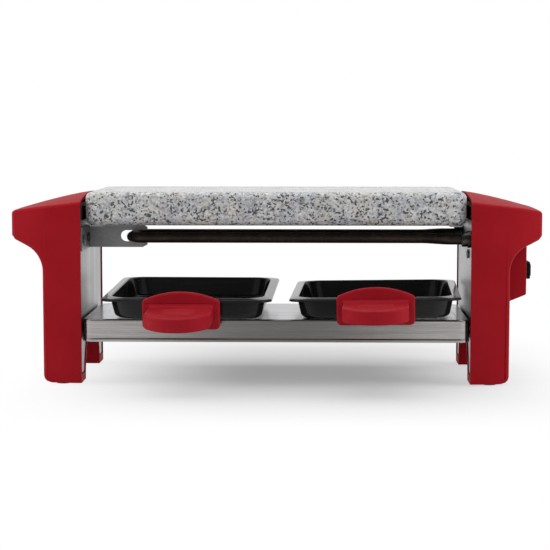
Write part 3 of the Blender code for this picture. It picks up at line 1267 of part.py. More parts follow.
def make_tang(word, carrier):
    """Steel tang: a leaf on the pan's wall, bent forward into the handle's pocket."""
    name = f"pan_{word}_tang"
    frame = handle_frame(word)
    lean = PAN_DRAFT / PAN_HEIGHT
    wall_top = PAN_HALF - PAN_RIM
    inner_end = frame @ Vector((0.0, 0.0, -GRIP_THICKNESS / 2.0))
    tip = frame @ Vector((0.0, -SHIELD_THICKNESS - TANG_INSERT, -GRIP_THICKNESS / 2.0))
    direction = (tip - inner_end).normalized()
    normal = Vector((0.0, -direction.z, direction.y)) * (TANG_SHEET / 2.0)

    def wall_face(height):
        """Where the leaf's back lies at a height: on the pan's wall, less the seat gap."""
        return -(wall_top - lean * (PAN_HEIGHT - height)) - SEAT_GAP

    high = inner_end.z + TANG_SHEET
    low = high - TANG_LEAF
    top_back = (wall_face(high), high)
    low_back = (wall_face(low), low)
    low_front = (wall_face(low) - TANG_SHEET, low)
    elbow_low = inner_end - normal * (-1.0 if normal.z < 0.0 else 1.0)
    elbow_high = inner_end + normal * (-1.0 if normal.z < 0.0 else 1.0)
    tip_low = tip + (elbow_low - inner_end)
    tip_high = tip + (elbow_high - inner_end)
    bend_low = (wall_face(elbow_low.z) - TANG_SHEET, elbow_low.z)
    bend_high = (wall_face(high) - TANG_SHEET, high)
    outline = [top_back, low_back, low_front, bend_low, (elbow_low.y, elbow_low.z),
               (tip_low.y, tip_low.z), (tip_high.y, tip_high.z), (elbow_high.y, elbow_high.z), bend_high]
    shift = HANDLE_SHIFTS[word]
    mesh = outline_mesh(name, outline, "YZ", shift - TANG_WIDTH / 2.0, shift + TANG_WIDTH / 2.0)
    tang = add_part(name, mesh, "stainless", carrier)
    along = -SHIELD_THICKNESS - HANDLE_SCREW_INSET
    hole = add_guide(name + "_hole", cylinder_mesh(
        name + "_hole", SCREW_RADIUS + BORE_GAP, (0.0, along, -GRIP_THICKNESS),
        (0.0, along, 0.0), sides=12))
    hole.parent = carrier
    hole.matrix_local = frame
    cut(tang, hole)
    return tang


def make_handle_screw(word, carrier):
    """Screw that holds the tang, driven up from under the grip."""
    name = f"pan_{word}_screw"
    frame = handle_frame(word)
    along = -SHIELD_THICKNESS - HANDLE_SCREW_INSET
    place = frame @ Vector((0.0, along, -GRIP_THICKNESS + SEAT_GAP))
    aim = frame.to_3x3() @ Vector((0.0, 0.0, 1.0))
    length = GRIP_THICKNESS / 2.0 + TANG_SHEET - 2.0 * SEAT_GAP - SCREW_HEAD
    return make_screw(name, place, aim, length, carrier)


def pan_lift(word):
    """How far a tipped pan's middle rises while the edge of its base stays on the tray."""
    straight = PAN_STANCE - PAN_BASE_CORNER
    tip = abs(math.sin(PAN_TIPS[word]))
    roll = abs(math.sin(PAN_ROLLS[word]))
    return straight * (tip + roll) + PAN_BASE_CORNER * math.hypot(tip, roll)


def make_pan(word):
    """One pan with its handle, tang and screw, on the empty that slides out."""
    place = (PAN_CENTRES[word], FRONT + PAN_SETBACK, PAN_BOTTOM + pan_lift(word))
    carrier = add_empty(f"pan_{word}_slide", place, PAN_YAWS[word], PAN_TIPS[word], PAN_ROLLS[word])
    make_dish(word, carrier)
    make_handle(word, carrier)
    make_tang(word, carrier)
    make_handle_screw(word, carrier)


clear_scene()
PARTS = new_collection("raclette_grill")
CUTTERS = new_collection("cutters")
MATERIALS = make_materials()

make_housing(-1, "left_housing")
make_housing(1, "right_housing")
make_side_plate(-1, "left_side_plate")
make_side_plate(1, "right_side_plate")
make_stone()
make_tray()
make_element()
make_bracket()
make_cutout()
make_screws()
make_feet()
make_switch()
make_mains_parts()
make_leads()
for pan_word in PAN_CENTRES:
    make_pan(pan_word)
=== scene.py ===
import json
import logging
import math
from dataclasses import dataclass
from enum import Enum
from typing import Any, Dict, List, Optional, Sequence, Tuple, Union

import bmesh
import bpy
import numpy as np
from mathutils import Euler, Matrix, Vector

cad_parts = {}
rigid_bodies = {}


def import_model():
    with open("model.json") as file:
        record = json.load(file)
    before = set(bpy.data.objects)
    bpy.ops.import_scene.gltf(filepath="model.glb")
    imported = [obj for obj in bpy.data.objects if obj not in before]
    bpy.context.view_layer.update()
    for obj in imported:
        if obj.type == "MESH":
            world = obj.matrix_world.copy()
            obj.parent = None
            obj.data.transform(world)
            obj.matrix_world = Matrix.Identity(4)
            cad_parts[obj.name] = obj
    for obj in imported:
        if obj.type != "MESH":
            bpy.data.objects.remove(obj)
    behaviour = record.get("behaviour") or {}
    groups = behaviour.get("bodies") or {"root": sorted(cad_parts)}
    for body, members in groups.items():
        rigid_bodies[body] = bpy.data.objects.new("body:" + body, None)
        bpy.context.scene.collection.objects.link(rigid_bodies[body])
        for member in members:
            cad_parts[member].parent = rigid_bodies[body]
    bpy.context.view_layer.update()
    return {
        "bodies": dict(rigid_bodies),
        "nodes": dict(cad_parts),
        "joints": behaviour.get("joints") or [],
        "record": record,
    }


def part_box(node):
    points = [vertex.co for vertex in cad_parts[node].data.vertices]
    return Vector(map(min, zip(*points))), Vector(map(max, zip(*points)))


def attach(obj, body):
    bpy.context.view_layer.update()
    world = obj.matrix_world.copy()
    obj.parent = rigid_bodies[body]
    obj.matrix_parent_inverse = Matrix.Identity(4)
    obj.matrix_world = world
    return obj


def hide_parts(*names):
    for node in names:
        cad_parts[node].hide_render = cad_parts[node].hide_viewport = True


LOG = logging.getLogger("raclette_grill")
Grid = np.ndarray
Pair = Tuple[float, float]
Counts = Tuple[int, int]
Place = Tuple[float, float, float]
Colour = Place
Settings = Optional[Dict[str, Any]]
Inputs = Optional[Dict[Any, Any]]
CORNERS = ("left_front", "left_rear", "right_front", "right_rear")
LEVEL = np.array([1.0, 1.0, 0.0])
CORNER_STEPS = 12
MERGE_DISTANCE = 0.000002
COPY_SHARP = 38.0
SCREW_SHARP = 50.0
PAN_SETBACK = 0.0435
PAN_CLEARANCE = 0.0003


# Materials: sockets that can be reckoned with, and the bench that joins nodes

class Wire:
    """A value on its way through a material, on which sums can be written."""

    def __init__(self, bench: "Bench", socket: bpy.types.NodeSocket) -> None:
        """Keep the output socket that carries the value, and the bench that it belongs to."""
        self.bench = bench
        self.socket = socket

    def _sum(self, operation: str, first: "Number", second: "Number" = 0.0) -> "Wire":
        """Add a Math node for one operation on two values."""
        return self.bench.wire("Math", {"operation": operation}, {0: first, 1: second})

    def __add__(self, other: "Number") -> "Wire":
        """Sum of the two."""
        return self._sum("ADD", self, other)

    __radd__ = __add__

    def __sub__(self, other: "Number") -> "Wire":
        """Difference of the two."""
        return self._sum("SUBTRACT", self, other)

    def __rsub__(self, other: float) -> "Wire":
        """Difference with a plain number on the left."""
        return self._sum("SUBTRACT", other, self)

    def __mul__(self, other: "Number") -> "Wire":
        """Product of the two."""
        return self._sum("MULTIPLY", self, other)

    __rmul__ = __mul__

    def size(self) -> "Wire":
        """The value without its sign."""
        return self._sum("ABSOLUTE", self)

    def span(self, low: float, high: float) -> "Wire":
        """Smooth step from nought at low to one at high, held between the two."""
        return self.bench.wire("MapRange", {"interpolation_type": "SMOOTHSTEP"},
                               {"Value": self, "From Min": low, "From Max": high})


Number = Union[float, Wire]


class Follow(Enum):
    """What a pattern follows: the object's own space, or the run of its surface."""

    SPACE = "Object"
    SURFACE = "UV"


class Bench:
    """The node tree of one material, or of the world."""

    def __init__(self, owner: Union[bpy.types.Material, bpy.types.World]) -> None:
        """Switch the owner's nodes on, and clear them, so that it holds only what is added here.

        Args:
            owner: The material or the world.
        """
        owner.use_nodes = True
        self.tree = owner.node_tree
        self.tree.nodes.clear()

    def node(self, kind: str, settings: Settings = None, inputs: Inputs = None) -> bpy.types.Node:
        """Add one node.

        Args:
            kind: The node's type, without its ShaderNode prefix.
            settings: Its properties. "stops" holds a ramp's places and colours, and "steps"
                the ramp's interpolation.
            inputs: Values or wires by socket name or number.

        Returns:
            The new node.
        """
        node = self.tree.nodes.new("ShaderNode" + kind)
        for key, value in (settings or {}).items():
            if key == "stops":
                ramp = node.color_ramp
                while len(ramp.elements) < len(value):
                    ramp.elements.new(1.0)
                for stop, (position, colour) in zip(ramp.elements, value):
                    stop.position = position
                    stop.color = (*colour, 1.0)
            elif key == "steps":
                node.color_ramp.interpolation = value
            else:
                setattr(node, key, value)
        for key, value in (inputs or {}).items():
            if isinstance(value, Wire):
                self.tree.links.new(value.socket, node.inputs[key])
            else:
                node.inputs[key].default_value = value
        return node

    def wires(self, kind: str, outputs: Sequence[Union[int, str]], settings: Settings = None,
              inputs: Inputs = None) -> List[Wire]:
        """Add one node, as node does, and take a wire from each output named or numbered."""
        node = self.node(kind, settings, inputs)
        return [Wire(self, node.outputs[output]) for output in outputs]

    def wire(self, kind: str, settings: Settings = None, inputs: Inputs = None,
             output: Union[int, str] = 0) -> Wire:
        """Add one node, as node does, and take a wire from one of its outputs."""
        return self.wires(kind, (output,), settings, inputs)[0]

    def place(self, follow: Follow = Follow.SPACE, scale: Place = (1.0, 1.0, 1.0)) -> Wire:
        """Coordinates in metres, the object's own or its surface's, stretched along each axis."""
        where = self.wire("TexCoord", output=follow.value)
        return self.wire("Mapping", {"vector_type": "POINT"}, {"Vector": where, "Scale": scale})

    def noise(self, where: Wire, scale: float, detail: float = 3.0, rough: float = 0.5,
              output: Union[int, str] = 0) -> Wire:
        """Cloudy noise about a half, at a scale in repeats to a metre."""
        return self.wire("TexNoise", None, {"Vector": where, "Scale": scale, "Detail": detail,
                                            "Roughness": rough}, output)

    def cells(self, where: Wire, scale: float, output: str = "Distance") -> Wire:
        """Irregular cells at a scale, in repeats to a metre."""
        return self.wire("TexVoronoi", None, {"Vector": where, "Scale": scale}, output)

    def rays(self) -> List[Wire]:
        """Wires that are one for a camera ray, for a mirrored one and for one that passes through."""
        return self.wires("LightPath", ("Is Camera Ray", "Is Glossy Ray", "Is Transmission Ray"))

    def tint(self, share: Number, first: Any, second: Any, mode: str = "MIX") -> Wire:
        """Mix a share of the second colour or wire into the first, by one of the Mix node's modes."""
        full = [value if isinstance(value, Wire) else (*value, 1.0) for value in (first, second)]
        return self.wire("Mix", {"data_type": "RGBA", "blend_type": mode},
                         {0: share, 6: full[0], 7: full[1]}, 2)

    def dress(self, colour: Wire, roughness: Number, metallic: float = 0.0,
              bumps: Sequence[Tuple[Wire, float, float]] = (), gloss: float = 0.5) -> None:
        """Close the tree with a Principled shader.

        Args:
            colour: Base colour.
            roughness: Roughness, a value or a wire.
            metallic: How far it is a metal.
            bumps: Height, strength and depth in metres of each layer of relief.
            gloss: Specular level.
        """
        inputs = {"Base Color": colour, "Roughness": roughness, "Metallic": metallic,
                  "Specular IOR Level": gloss}
        for height, strength, depth in bumps:
            relief = {"Height": height, "Strength": strength, "Distance": depth}
            if "Normal" in inputs:
                relief["Normal"] = inputs["Normal"]
            inputs["Normal"] = self.wire("Bump", None, relief)
        shader = self.wire("BsdfPrincipled", None, inputs)
        self.node("OutputMaterial", None, {"Surface": shader})


@dataclass(frozen=True)
class Finish:
    """A surface finish: its name, and the record's material slot that it stands for."""

    name: str
    slot: str

    def material(self) -> bpy.types.Material:
        """The finish as a material, made once.

        Returns:
            The material.
        """
        made = bpy.data.materials.get(self.name)
        if made is None:
            made = bpy.data.materials.new(self.name)
            self.paint(Bench(made))
        return made

    def paint(self, bench: Bench) -> None:
        """Fill the material's tree; each kind of finish has its own.

        Args:
            bench: The material's tree.
        """
        raise NotImplementedError


@dataclass(frozen=True)
class MouldedPlastic(Finish):
    """Injection moulded plastic with a fine spark-eroded texture and slight flow clouding."""

    colour: Colour = (0.248, 0.0046, 0.0092)
    pale: Colour = (0.275, 0.0062, 0.0118)
    roughness: float = 0.56
    grain: float = 2600.0
    relief: float = 0.1
    gloss: float = 0.075

    def paint(self, bench: Bench) -> None:
        """Clouded colour, rubbed patches in the gloss, and a fine grain.

        Args:
            bench: The material's tree.
        """
        where = bench.place()
        cloud = bench.noise(where, 38.0, 3.0, 0.55)
        grain = bench.noise(where, self.grain, 2.0, 0.6)
        rubbed = bench.noise(bench.place(scale=(1.0, 1.0, 0.35)), 210.0, 4.0, 0.62)
        colour = bench.tint(cloud.span(0.32, 0.72), self.colour, self.pale)
        colour = bench.tint(0.1, colour, bench.tint(grain, (0.5, 0.5, 0.5), (1.0, 1.0, 1.0)), "MULTIPLY")
        roughness = self.roughness + 0.1 * (rubbed - 0.5) + 0.06 * (grain - 0.5)
        waves = bench.noise(where, 55.0, 1.0)
        bench.dress(colour, roughness, 0.0, [(waves, 0.1, 0.0004), (grain, self.relief, 0.00006)],
                    self.gloss)


@dataclass(frozen=True)
class BrushedSteel(Finish):
    """Sheet steel brushed along one direction, with rubbed and clouded patches, and, above a
    given height, a painted colder and darker tone standing in for the top face's reflection."""

    follow: Follow
    along: Place
    colour: Colour = (0.56, 0.55, 0.53)
    dark: Colour = (0.4, 0.39, 0.375)
    roughness: float = 0.27
    relief: float = 0.16
    # Height above which the top face gets a painted reflection tone, and that tone
    reflection_tone_above: Optional[float] = None
    painted_top_tone: Colour = (0.7, 0.73, 0.8)

    def paint(self, bench: Bench) -> None:
        """Long streaks in the colour, the gloss and the relief.

        Args:
            bench: The material's tree.
        """
        where = bench.place(self.follow, self.along)
        fine = bench.noise(where, 42.0, 3.0, 0.7)
        broad = bench.noise(where, 7.0, 2.0, 0.5)
        cloud = bench.noise(bench.place(), 30.0, 3.0, 0.6)
        streak = (0.65 * fine + 0.35 * broad).span(0.34, 0.66)
        colour = bench.tint(streak, self.dark, self.colour)
        colour = bench.tint(cloud.span(0.35, 0.75) * 0.25, colour, self.dark)
        # Painted reflection: the face above the height is tinted colder and darker
        if self.reflection_tone_above is not None:
            height = bench.wire("SeparateXYZ", None, {0: bench.place()}, "Z")
            above = height.span(self.reflection_tone_above - 0.0002, self.reflection_tone_above)
            colour = bench.tint(above, colour, self.painted_top_tone, "MULTIPLY")
        roughness = self.roughness + 0.16 * (1.0 - streak) * 0.6 + 0.1 * (cloud - 0.5)
        bench.dress(colour, roughness, 1.0, [(fine, self.relief, 0.00005)])


@dataclass(frozen=True)
class HeatedSteel(Finish):
    """Steel darkened by heat, blotched where the oxide is thicker."""

    colour: Colour
    pale: Colour
    roughness: float = 0.46
    metallic: float = 0.75
    grain: float = 420.0

    def paint(self, bench: Bench) -> None:
        """Blotches of oxide over a drawn sheath, with a dusty grain.

        Args:
            bench: The material's tree.
        """
        where = bench.place()
        blotch = bench.noise(where, 95.0, 4.0, 0.62)
        grain = bench.noise(where, self.grain, 3.0, 0.6)
        thick = (0.6 * blotch + 0.4 * grain).span(0.4, 0.66)
        colour = bench.tint(thick, self.colour, self.pale)
        bench.dress(colour, self.roughness + 0.18 * (grain - 0.5), self.metallic,
                    [(grain, 0.22, 0.0001), (blotch, 0.12, 0.0003)])


@dataclass(frozen=True)
class Granite(Finish):
    """Polished granite: quartz, felspar and black mica, in places bluish or sandy."""

    grain: float = 820.0
    gloss: float = 0.26
    bluish: Colour = (0.82, 0.85, 0.905)
    sandy: Colour = (0.96, 0.91, 0.8)
    felspar: Colour = (0.175, 0.176, 0.18)
    mica: Colour = (0.035, 0.035, 0.037)

    def paint(self, bench: Bench) -> None:
        """Pale ground of close greys, soft bluish and sandy clouds, and dark specks in clusters.

        Args:
            bench: The material's tree.
        """
        where = bench.place()
        ragged = bench.noise(where, 1900.0, 2.0, 0.6, "Color")
        shift = bench.wire("VectorMath", {"operation": "MULTIPLY_ADD"},
                           {0: ragged, 1: (0.001, 0.001, 0.001), 2: where})
        clump = bench.noise(where, 150.0, 3.0, 0.6)
        cloud = bench.noise(where, 48.0, 2.0, 0.5)
        sand = bench.noise(bench.place(scale=(1.0, 1.0, 1.4)), 85.0, 2.0, 0.5)
        stops = [(0.0, (0.32, 0.325, 0.335)), (0.18, (0.415, 0.414, 0.408)), (0.45, (0.49, 0.484, 0.47)),
                 (0.7, (0.43, 0.43, 0.43)), (0.88, (0.56, 0.555, 0.54))]
        colour = bench.wire("ValToRGB", {"stops": stops, "steps": "CONSTANT"},
                            {0: self.pick(bench, shift, self.grain)})
        colour = bench.tint(0.8 * cloud.span(0.44, 0.62), colour, self.bluish, "MULTIPLY")
        colour = bench.tint(0.7 * sand.span(0.52, 0.68), colour, self.sandy, "MULTIPLY")
        speck = self.pick(bench, shift, self.grain * 1.15)
        near = (clump - 0.5) * 1.1
        grey = (speck + near).span(0.65, 0.73)
        soot = (speck + near).span(0.8, 0.87)
        colour = bench.tint(grey * 0.66, colour, self.felspar)
        colour = bench.tint(soot * 0.9, colour, self.mica)
        roughness = 0.22 + 0.1 * soot + 0.08 * (clump - 0.5)
        bench.dress(colour, roughness, 0.0, [(speck, 0.03, 0.00004)], self.gloss)

    @staticmethod
    def pick(bench: Bench, where: Wire, scale: float) -> Wire:
        """A random number for each grain."""
        return bench.wire("SeparateColor", None, {"Color": bench.cells(where, scale, "Color")})


@dataclass(frozen=True)
class NonStick(Finish):
    """Baked non-stick coating over drawn sheet, with a light speckle and scuffs."""

    colour: Colour = (0.0075, 0.0075, 0.008)
    pale: Colour = (0.016, 0.016, 0.0165)
    roughness: float = 0.15
    gloss: float = 0.26

    def paint(self, bench: Bench) -> None:
        """Orange peel, pale specks, and scuffs that follow the drawing of the sheet.

        Args:
            bench: The material's tree.
        """
        where = bench.place()
        peel = bench.noise(where, 1100.0, 2.0, 0.5)
        scuff = bench.noise(bench.place(scale=(1.0, 1.0, 9.0)), 90.0, 4.0, 0.65)
        speck = bench.cells(where, 1500.0)
        pale = (scuff.span(0.45, 0.8) * 0.6) + ((1.0 - speck).span(0.8, 0.95) * 0.4)
        colour = bench.tint(pale, self.colour, self.pale)
        roughness = self.roughness + 0.1 * (scuff - 0.5) + 0.04 * (peel - 0.5)
        bench.dress(colour, roughness, 0.0, [(peel, 0.06, 0.00004)], self.gloss)


@dataclass(frozen=True)
class PlainMatter(Finish):
    """Small parts of rubber, brass, ceramic or silicone, each with its own clouding and grain."""

    colour: Colour
    pale: Colour
    roughness: float
    metallic: float = 0.0

    def paint(self, bench: Bench) -> None:
        """Soft clouding of the colour over a fine grain.

        Args:
            bench: The material's tree.
        """
        where = bench.place()
        cloud = bench.noise(where, 160.0, 3.0, 0.6)
        grain = bench.noise(where, 900.0, 2.0, 0.6)
        colour = bench.tint(cloud.span(0.3, 0.7), self.colour, self.pale)
        bench.dress(colour, self.roughness + 0.14 * (grain - 0.5), self.metallic, [(grain, 0.18, 0.00006)])


RED = MouldedPlastic("red_housing_plastic", "red_plastic")
HANDLE_RED = MouldedPlastic("red_handle_plastic", "red_plastic", (0.245, 0.0045, 0.0105),
                            (0.275, 0.0065, 0.0135), 0.52, 2200.0, 0.12, 0.12)
BLACK = MouldedPlastic("black_switch_plastic", "black_plastic", (0.003, 0.003, 0.0031),
                       (0.005, 0.005, 0.005), 0.5, 2400.0, 0.1, 0.08)
# The tray's top face gets a painted colder, darker reflection tone above 0.0396 m
TRAY_STEEL = BrushedSteel("brushed_tray_steel", "stainless", Follow.SURFACE, (1.0, 60.0, 1.0),
                          (0.45, 0.432, 0.422), (0.34, 0.326, 0.317), 0.17, 0.09, 0.0396)
PLATE_STEEL = BrushedSteel("brushed_plate_steel", "stainless", Follow.SPACE, (1.0, 22.0, 1.0),
                           (0.435, 0.435, 0.435), (0.37, 0.37, 0.37), 0.36, 0.05)
SCREW_STEEL = BrushedSteel("screw_steel", "stainless", Follow.SURFACE, (4.0, 30.0, 1.0))
DULL_STEEL = HeatedSteel("dull_bracket_steel", "dull_steel", (0.26, 0.263, 0.261), (0.315, 0.318, 0.316),
                         0.44, 0.85, 700.0)
DARK_SCREW = HeatedSteel("dull_screw_steel", "stainless", (0.12, 0.12, 0.12), (0.21, 0.208, 0.205),
                         0.36, 0.9, 900.0)
ROD_STEEL = HeatedSteel("heated_rod_steel", "heated_steel", (0.028, 0.021, 0.016), (0.052, 0.038, 0.028))
BUSH_STEEL = HeatedSteel("dark_bush_steel", "dull_steel", (0.045, 0.045, 0.042), (0.12, 0.118, 0.11),
                         0.3, 0.95, 1100.0)
GRANITE = Granite("polished_granite", "granite")
COATING = NonStick("pan_coating", "nonstick")
RUBBER = PlainMatter("foot_rubber", "rubber", (0.01, 0.01, 0.01), (0.02, 0.02, 0.02), 0.72)
BRASS = PlainMatter("terminal_brass", "brass", (0.42, 0.27, 0.075), (0.52, 0.36, 0.12), 0.34, 1.0)
CERAMIC = PlainMatter("terminal_ceramic", "ceramic", (0.66, 0.62, 0.53), (0.74, 0.71, 0.63), 0.62)
SLEEVE = PlainMatter("lead_silicone", "lead_sleeve", (0.58, 0.58, 0.56), (0.66, 0.66, 0.64), 0.48)


# Shapes worked out as whole arrays

def linked(name: str, data: bpy.types.ID) -> bpy.types.Object:
    """A new object, linked to the scene.

    Args:
        name: Its name.
        data: Its mesh, lamp or camera.

    Returns:
        The object.
    """
    made = bpy.data.objects.new(name, data)
    bpy.context.scene.collection.objects.link(made)
    return made


def room(node: str) -> Tuple[Grid, Grid, Grid, Grid]:
    """Box of a CAD node at rest: its lowest and highest corner, its middle and its half size."""
    low, high = (np.array(corner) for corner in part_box(node))
    return low, high, (low + high) / 2.0, (high - low) / 2.0


def unit(vectors: Grid) -> Grid:
    """Vectors divided by their own length, which is held above nought."""
    return vectors / np.maximum(np.linalg.norm(vectors, axis=-1, keepdims=True), 1e-12)


def easing(share: Grid) -> Grid:
    """Smooth step of an array, held between nought and one."""
    held = np.clip(share, 0.0, 1.0)
    return held * held * (3.0 - 2.0 * held)


def bow(centre: Pair, radius: float, start: float, end: float, steps: int) -> Grid:
    """Arc: centre plus radius times the cosine and sine of evenly spaced angles in degrees."""
    turn = np.radians(np.linspace(start, end, steps + 1))
    return np.asarray(centre) + radius * np.stack([np.cos(turn), np.sin(turn)], axis=1)


def quarter_round(radius: float, steps: int) -> Tuple[Grid, Grid]:
    """Quarter circle: radius times one less the sine, and one less the cosine, of even angles."""
    turn = np.linspace(0.0, np.pi / 2.0, steps + 1)
    return radius * (1.0 - np.sin(turn)), radius * (1.0 - np.cos(turn))


def sagging(across: Grid, half: float, rise: float) -> Tuple[Grid, float]:
    """Circle over half a chord: its fall from the crown at each place across, which is its radius
    less the root of the radius squared less the place squared, and its radius."""
    radius = (half ** 2 + rise ** 2) / (2.0 * rise)
    return radius - np.sqrt(radius ** 2 - across ** 2), radius


def stack(loops: Sequence[Grid], heights: Sequence[float]) -> Grid:
    """Flat loops set one above the other at their heights, as a (rows, columns, 3) grid."""
    level = np.broadcast_to(np.asarray(heights)[:, None, None], (len(loops), len(loops[0]), 1))
    return np.concatenate([np.stack(loops), level], axis=2)


def rounded_loop(half_x: float, half_y: float, corner: float, runs: Counts, turn: int) -> Grid:
    """Rounded rectangle, counter-clockwise: four quarter arcs joined by evenly divided sides.

    Args:
        half_x: Half its length.
        half_y: Half its depth.
        corner: Corner radius.
        runs: Points within each long and each deep side.
        turn: Steps of each corner.

    Returns:
        Points of the loop, the first not repeated.
    """
    far_x, far_y = half_x - corner, half_y - corner
    centres = [(far_x, -far_y), (far_x, far_y), (-far_x, far_y), (-far_x, -far_y)]
    arcs = [bow(centre, corner, 90.0 * quarter - 90.0, 90.0 * quarter, turn)
            for quarter, centre in enumerate(centres)]
    parts = []
    for quarter, arc in enumerate(arcs):
        following = arcs[(quarter + 1) % 4][0]
        share = np.linspace(0.0, 1.0, runs[1 - quarter % 2] + 2)[1:-1, None]
        parts += [arc, arc[-1] * (1.0 - share) + following * share]
    return np.concatenate(parts)


def lofted(rows: Sequence[Sequence[float]], runs: Counts, turn: int) -> Grid:
    """Rounded rectangles one above the other, each given by its half length, half depth, corner
    radius and height, as a (rows, columns, 3) grid."""
    return stack([rounded_loop(*row[:3], runs, turn) for row in rows], [row[3] for row in rows])


def plate(loop: Grid, thickness: float, edge: float, steps: int, lid: float) -> Grid:
    """A flat loop given a thickness, and drawn in by a quarter round towards both faces. Each
    point moves along its normal, which is the mean of the normals of the two sides that meet.

    Args:
        loop: Points of the loop, counter-clockwise.
        thickness: Distance of the two faces.
        edge: Radius of the rounds.
        steps: Steps of each round.
        lid: How much further in each face begins.

    Returns:
        The grid, from nought up to the thickness.
    """
    sides = np.roll(loop, -1, axis=0) - loop
    normals = unit(np.stack([-sides[:, 1], sides[:, 0]], axis=1))
    normals = unit(normals + np.roll(normals, 1, axis=0))
    inset, rise = quarter_round(edge, steps)
    insets = np.concatenate([[edge + lid], inset, inset[::-1], [edge + lid]])
    levels = np.concatenate([[0.0], rise, thickness - rise[::-1], [thickness]])
    return stack([loop + drawn * normals for drawn in insets], levels)


def turned(profile: Grid, steps: int) -> Grid:
    """Surface of revolution about Z: radius times the cosine and sine of the turn, at each
    height of the profile.

    Args:
        profile: Radius and height of each ring, (rows, 2).
        steps: Points round each ring.

    Returns:
        The grid, (rows, steps, 3).
    """
    turn = np.linspace(0.0, 2.0 * np.pi, steps, endpoint=False)
    radius = profile[:, :1]
    return np.stack([radius * np.cos(turn), radius * np.sin(turn),
                     np.broadcast_to(profile[:, 1:], (len(profile), steps))], axis=2)


def aimed(grid: Grid, place: Sequence[float], axis: Sequence[float]) -> Grid:
    """The grid with its own Z turned to an axis, and moved to a place."""
    turn = np.array(Vector((0.0, 0.0, 1.0)).rotation_difference(Vector(axis)).to_matrix())
    return grid @ turn.T + np.asarray(place)


def moved(grid: Grid, matrix: Matrix) -> Grid:
    """The grid carried by a rigid matrix."""
    full = np.array(matrix)
    return grid @ full[:3, :3].T + full[:3, 3]


def softened(corners: Sequence[Place], steps: int, closed: bool = False) -> Grid:
    """Profile whose corners are rounded: at each corner a quadratic curve leaves one side at
    the corner's radius and joins the next at the same distance.

    Args:
        corners: Two coordinates and a rounding for each corner.
        steps: Steps of each rounding.
        closed: Whether the last corner joins the first.

    Returns:
        Points of the profile.
    """
    spots = np.array([corner[:2] for corner in corners])
    parts = []
    for index, (_, _, radius) in enumerate(corners):
        spot = spots[index]
        if radius <= 0.0 or (not closed and index in (0, len(corners) - 1)):
            parts.append(spot[None])
            continue
        start = spot + unit(spots[index - 1] - spot) * radius
        end = spot + unit(spots[(index + 1) % len(spots)] - spot) * radius
        share = np.linspace(0.0, 1.0, steps + 1)[:, None]
        parts.append((1.0 - share) ** 2 * start + 2.0 * share * (1.0 - share) * spot + share ** 2 * end)
    return np.concatenate(parts)


def quads(layer: Grid) -> Grid:
    """The four corners of each cell of a grid, in turn."""
    return np.stack([layer[:-1, :-1], layer[:-1, 1:], layer[1:, 1:], layer[1:, :-1]], axis=2)


def joined(name: str, grids: Sequence[Grid], wrap: bool = True, closed: bool = True,
           sharp: float = 40.0) -> bpy.types.Mesh:
    """Grids of points joined to one mesh of quads, with run and rise in metres as its UV map,
    doubles merged, faces outward and edges sharp past an angle.

    Args:
        name: The mesh's name.
        grids: Points of each grid, (rows, columns, 3).
        wrap: Whether the last column joins the first.
        closed: Whether the first and the last row are closed with a face.
        sharp: Angle in degrees past which an edge is sharp.

    Returns:
        The mesh.
    """
    faces: List[List[int]] = []
    runs: List[Grid] = []
    count = 0
    for grid in grids:
        rows, columns = grid.shape[:2]
        index = count + np.arange(rows * columns).reshape(rows, columns)
        count += rows * columns
        shown, order = grid, index
        if wrap:
            shown, order = (np.concatenate([layer, layer[:, :1]], axis=1) for layer in (grid, index))
        run = np.linalg.norm(np.diff(shown, axis=1), axis=2).max(axis=0)
        rise = np.linalg.norm(np.diff(shown, axis=0), axis=2).mean(axis=1)
        spread = np.stack(np.meshgrid(np.cumsum([0.0, *run]), np.cumsum([0.0, *rise])), axis=2)
        faces += quads(order).reshape(-1, 4).tolist()
        runs.append(quads(spread).reshape(-1, 2))
        for row, turn in ((0, -1), (rows - 1, 1)) if closed else ():
            faces.append(index[row, ::turn].tolist())
            runs.append(grid[row, ::turn, :2])
    mesh = bpy.data.meshes.new(name)
    mesh.from_pydata(np.concatenate([grid.reshape(-1, 3) for grid in grids]).tolist(), [], faces)
    layer = mesh.uv_layers.new(name="run")
    layer.data.foreach_set("uv", np.concatenate(runs).astype(np.float32).ravel())
    return settled(mesh, sharp, True)


def settled(mesh: bpy.types.Mesh, sharp: float, outward: bool) -> bpy.types.Mesh:
    """Merge doubles, turn faces outward if asked, and shade smooth up to an angle.

    Args:
        mesh: The mesh to settle.
        sharp: Angle in degrees past which an edge is sharp.
        outward: Whether the normals are worked out anew.

    Returns:
        The same mesh.
    """
    work = bmesh.new()
    work.from_mesh(mesh)
    bmesh.ops.remove_doubles(work, verts=work.verts, dist=MERGE_DISTANCE)
    if outward:
        bmesh.ops.recalc_face_normals(work, faces=work.faces)
    work.to_mesh(mesh)
    work.free()
    if "custom_normal" in mesh.attributes:
        mesh.attributes.remove(mesh.attributes["custom_normal"])
    mesh.shade_smooth()
    mesh.set_sharp_from_angle(angle=math.radians(sharp))
    return mesh


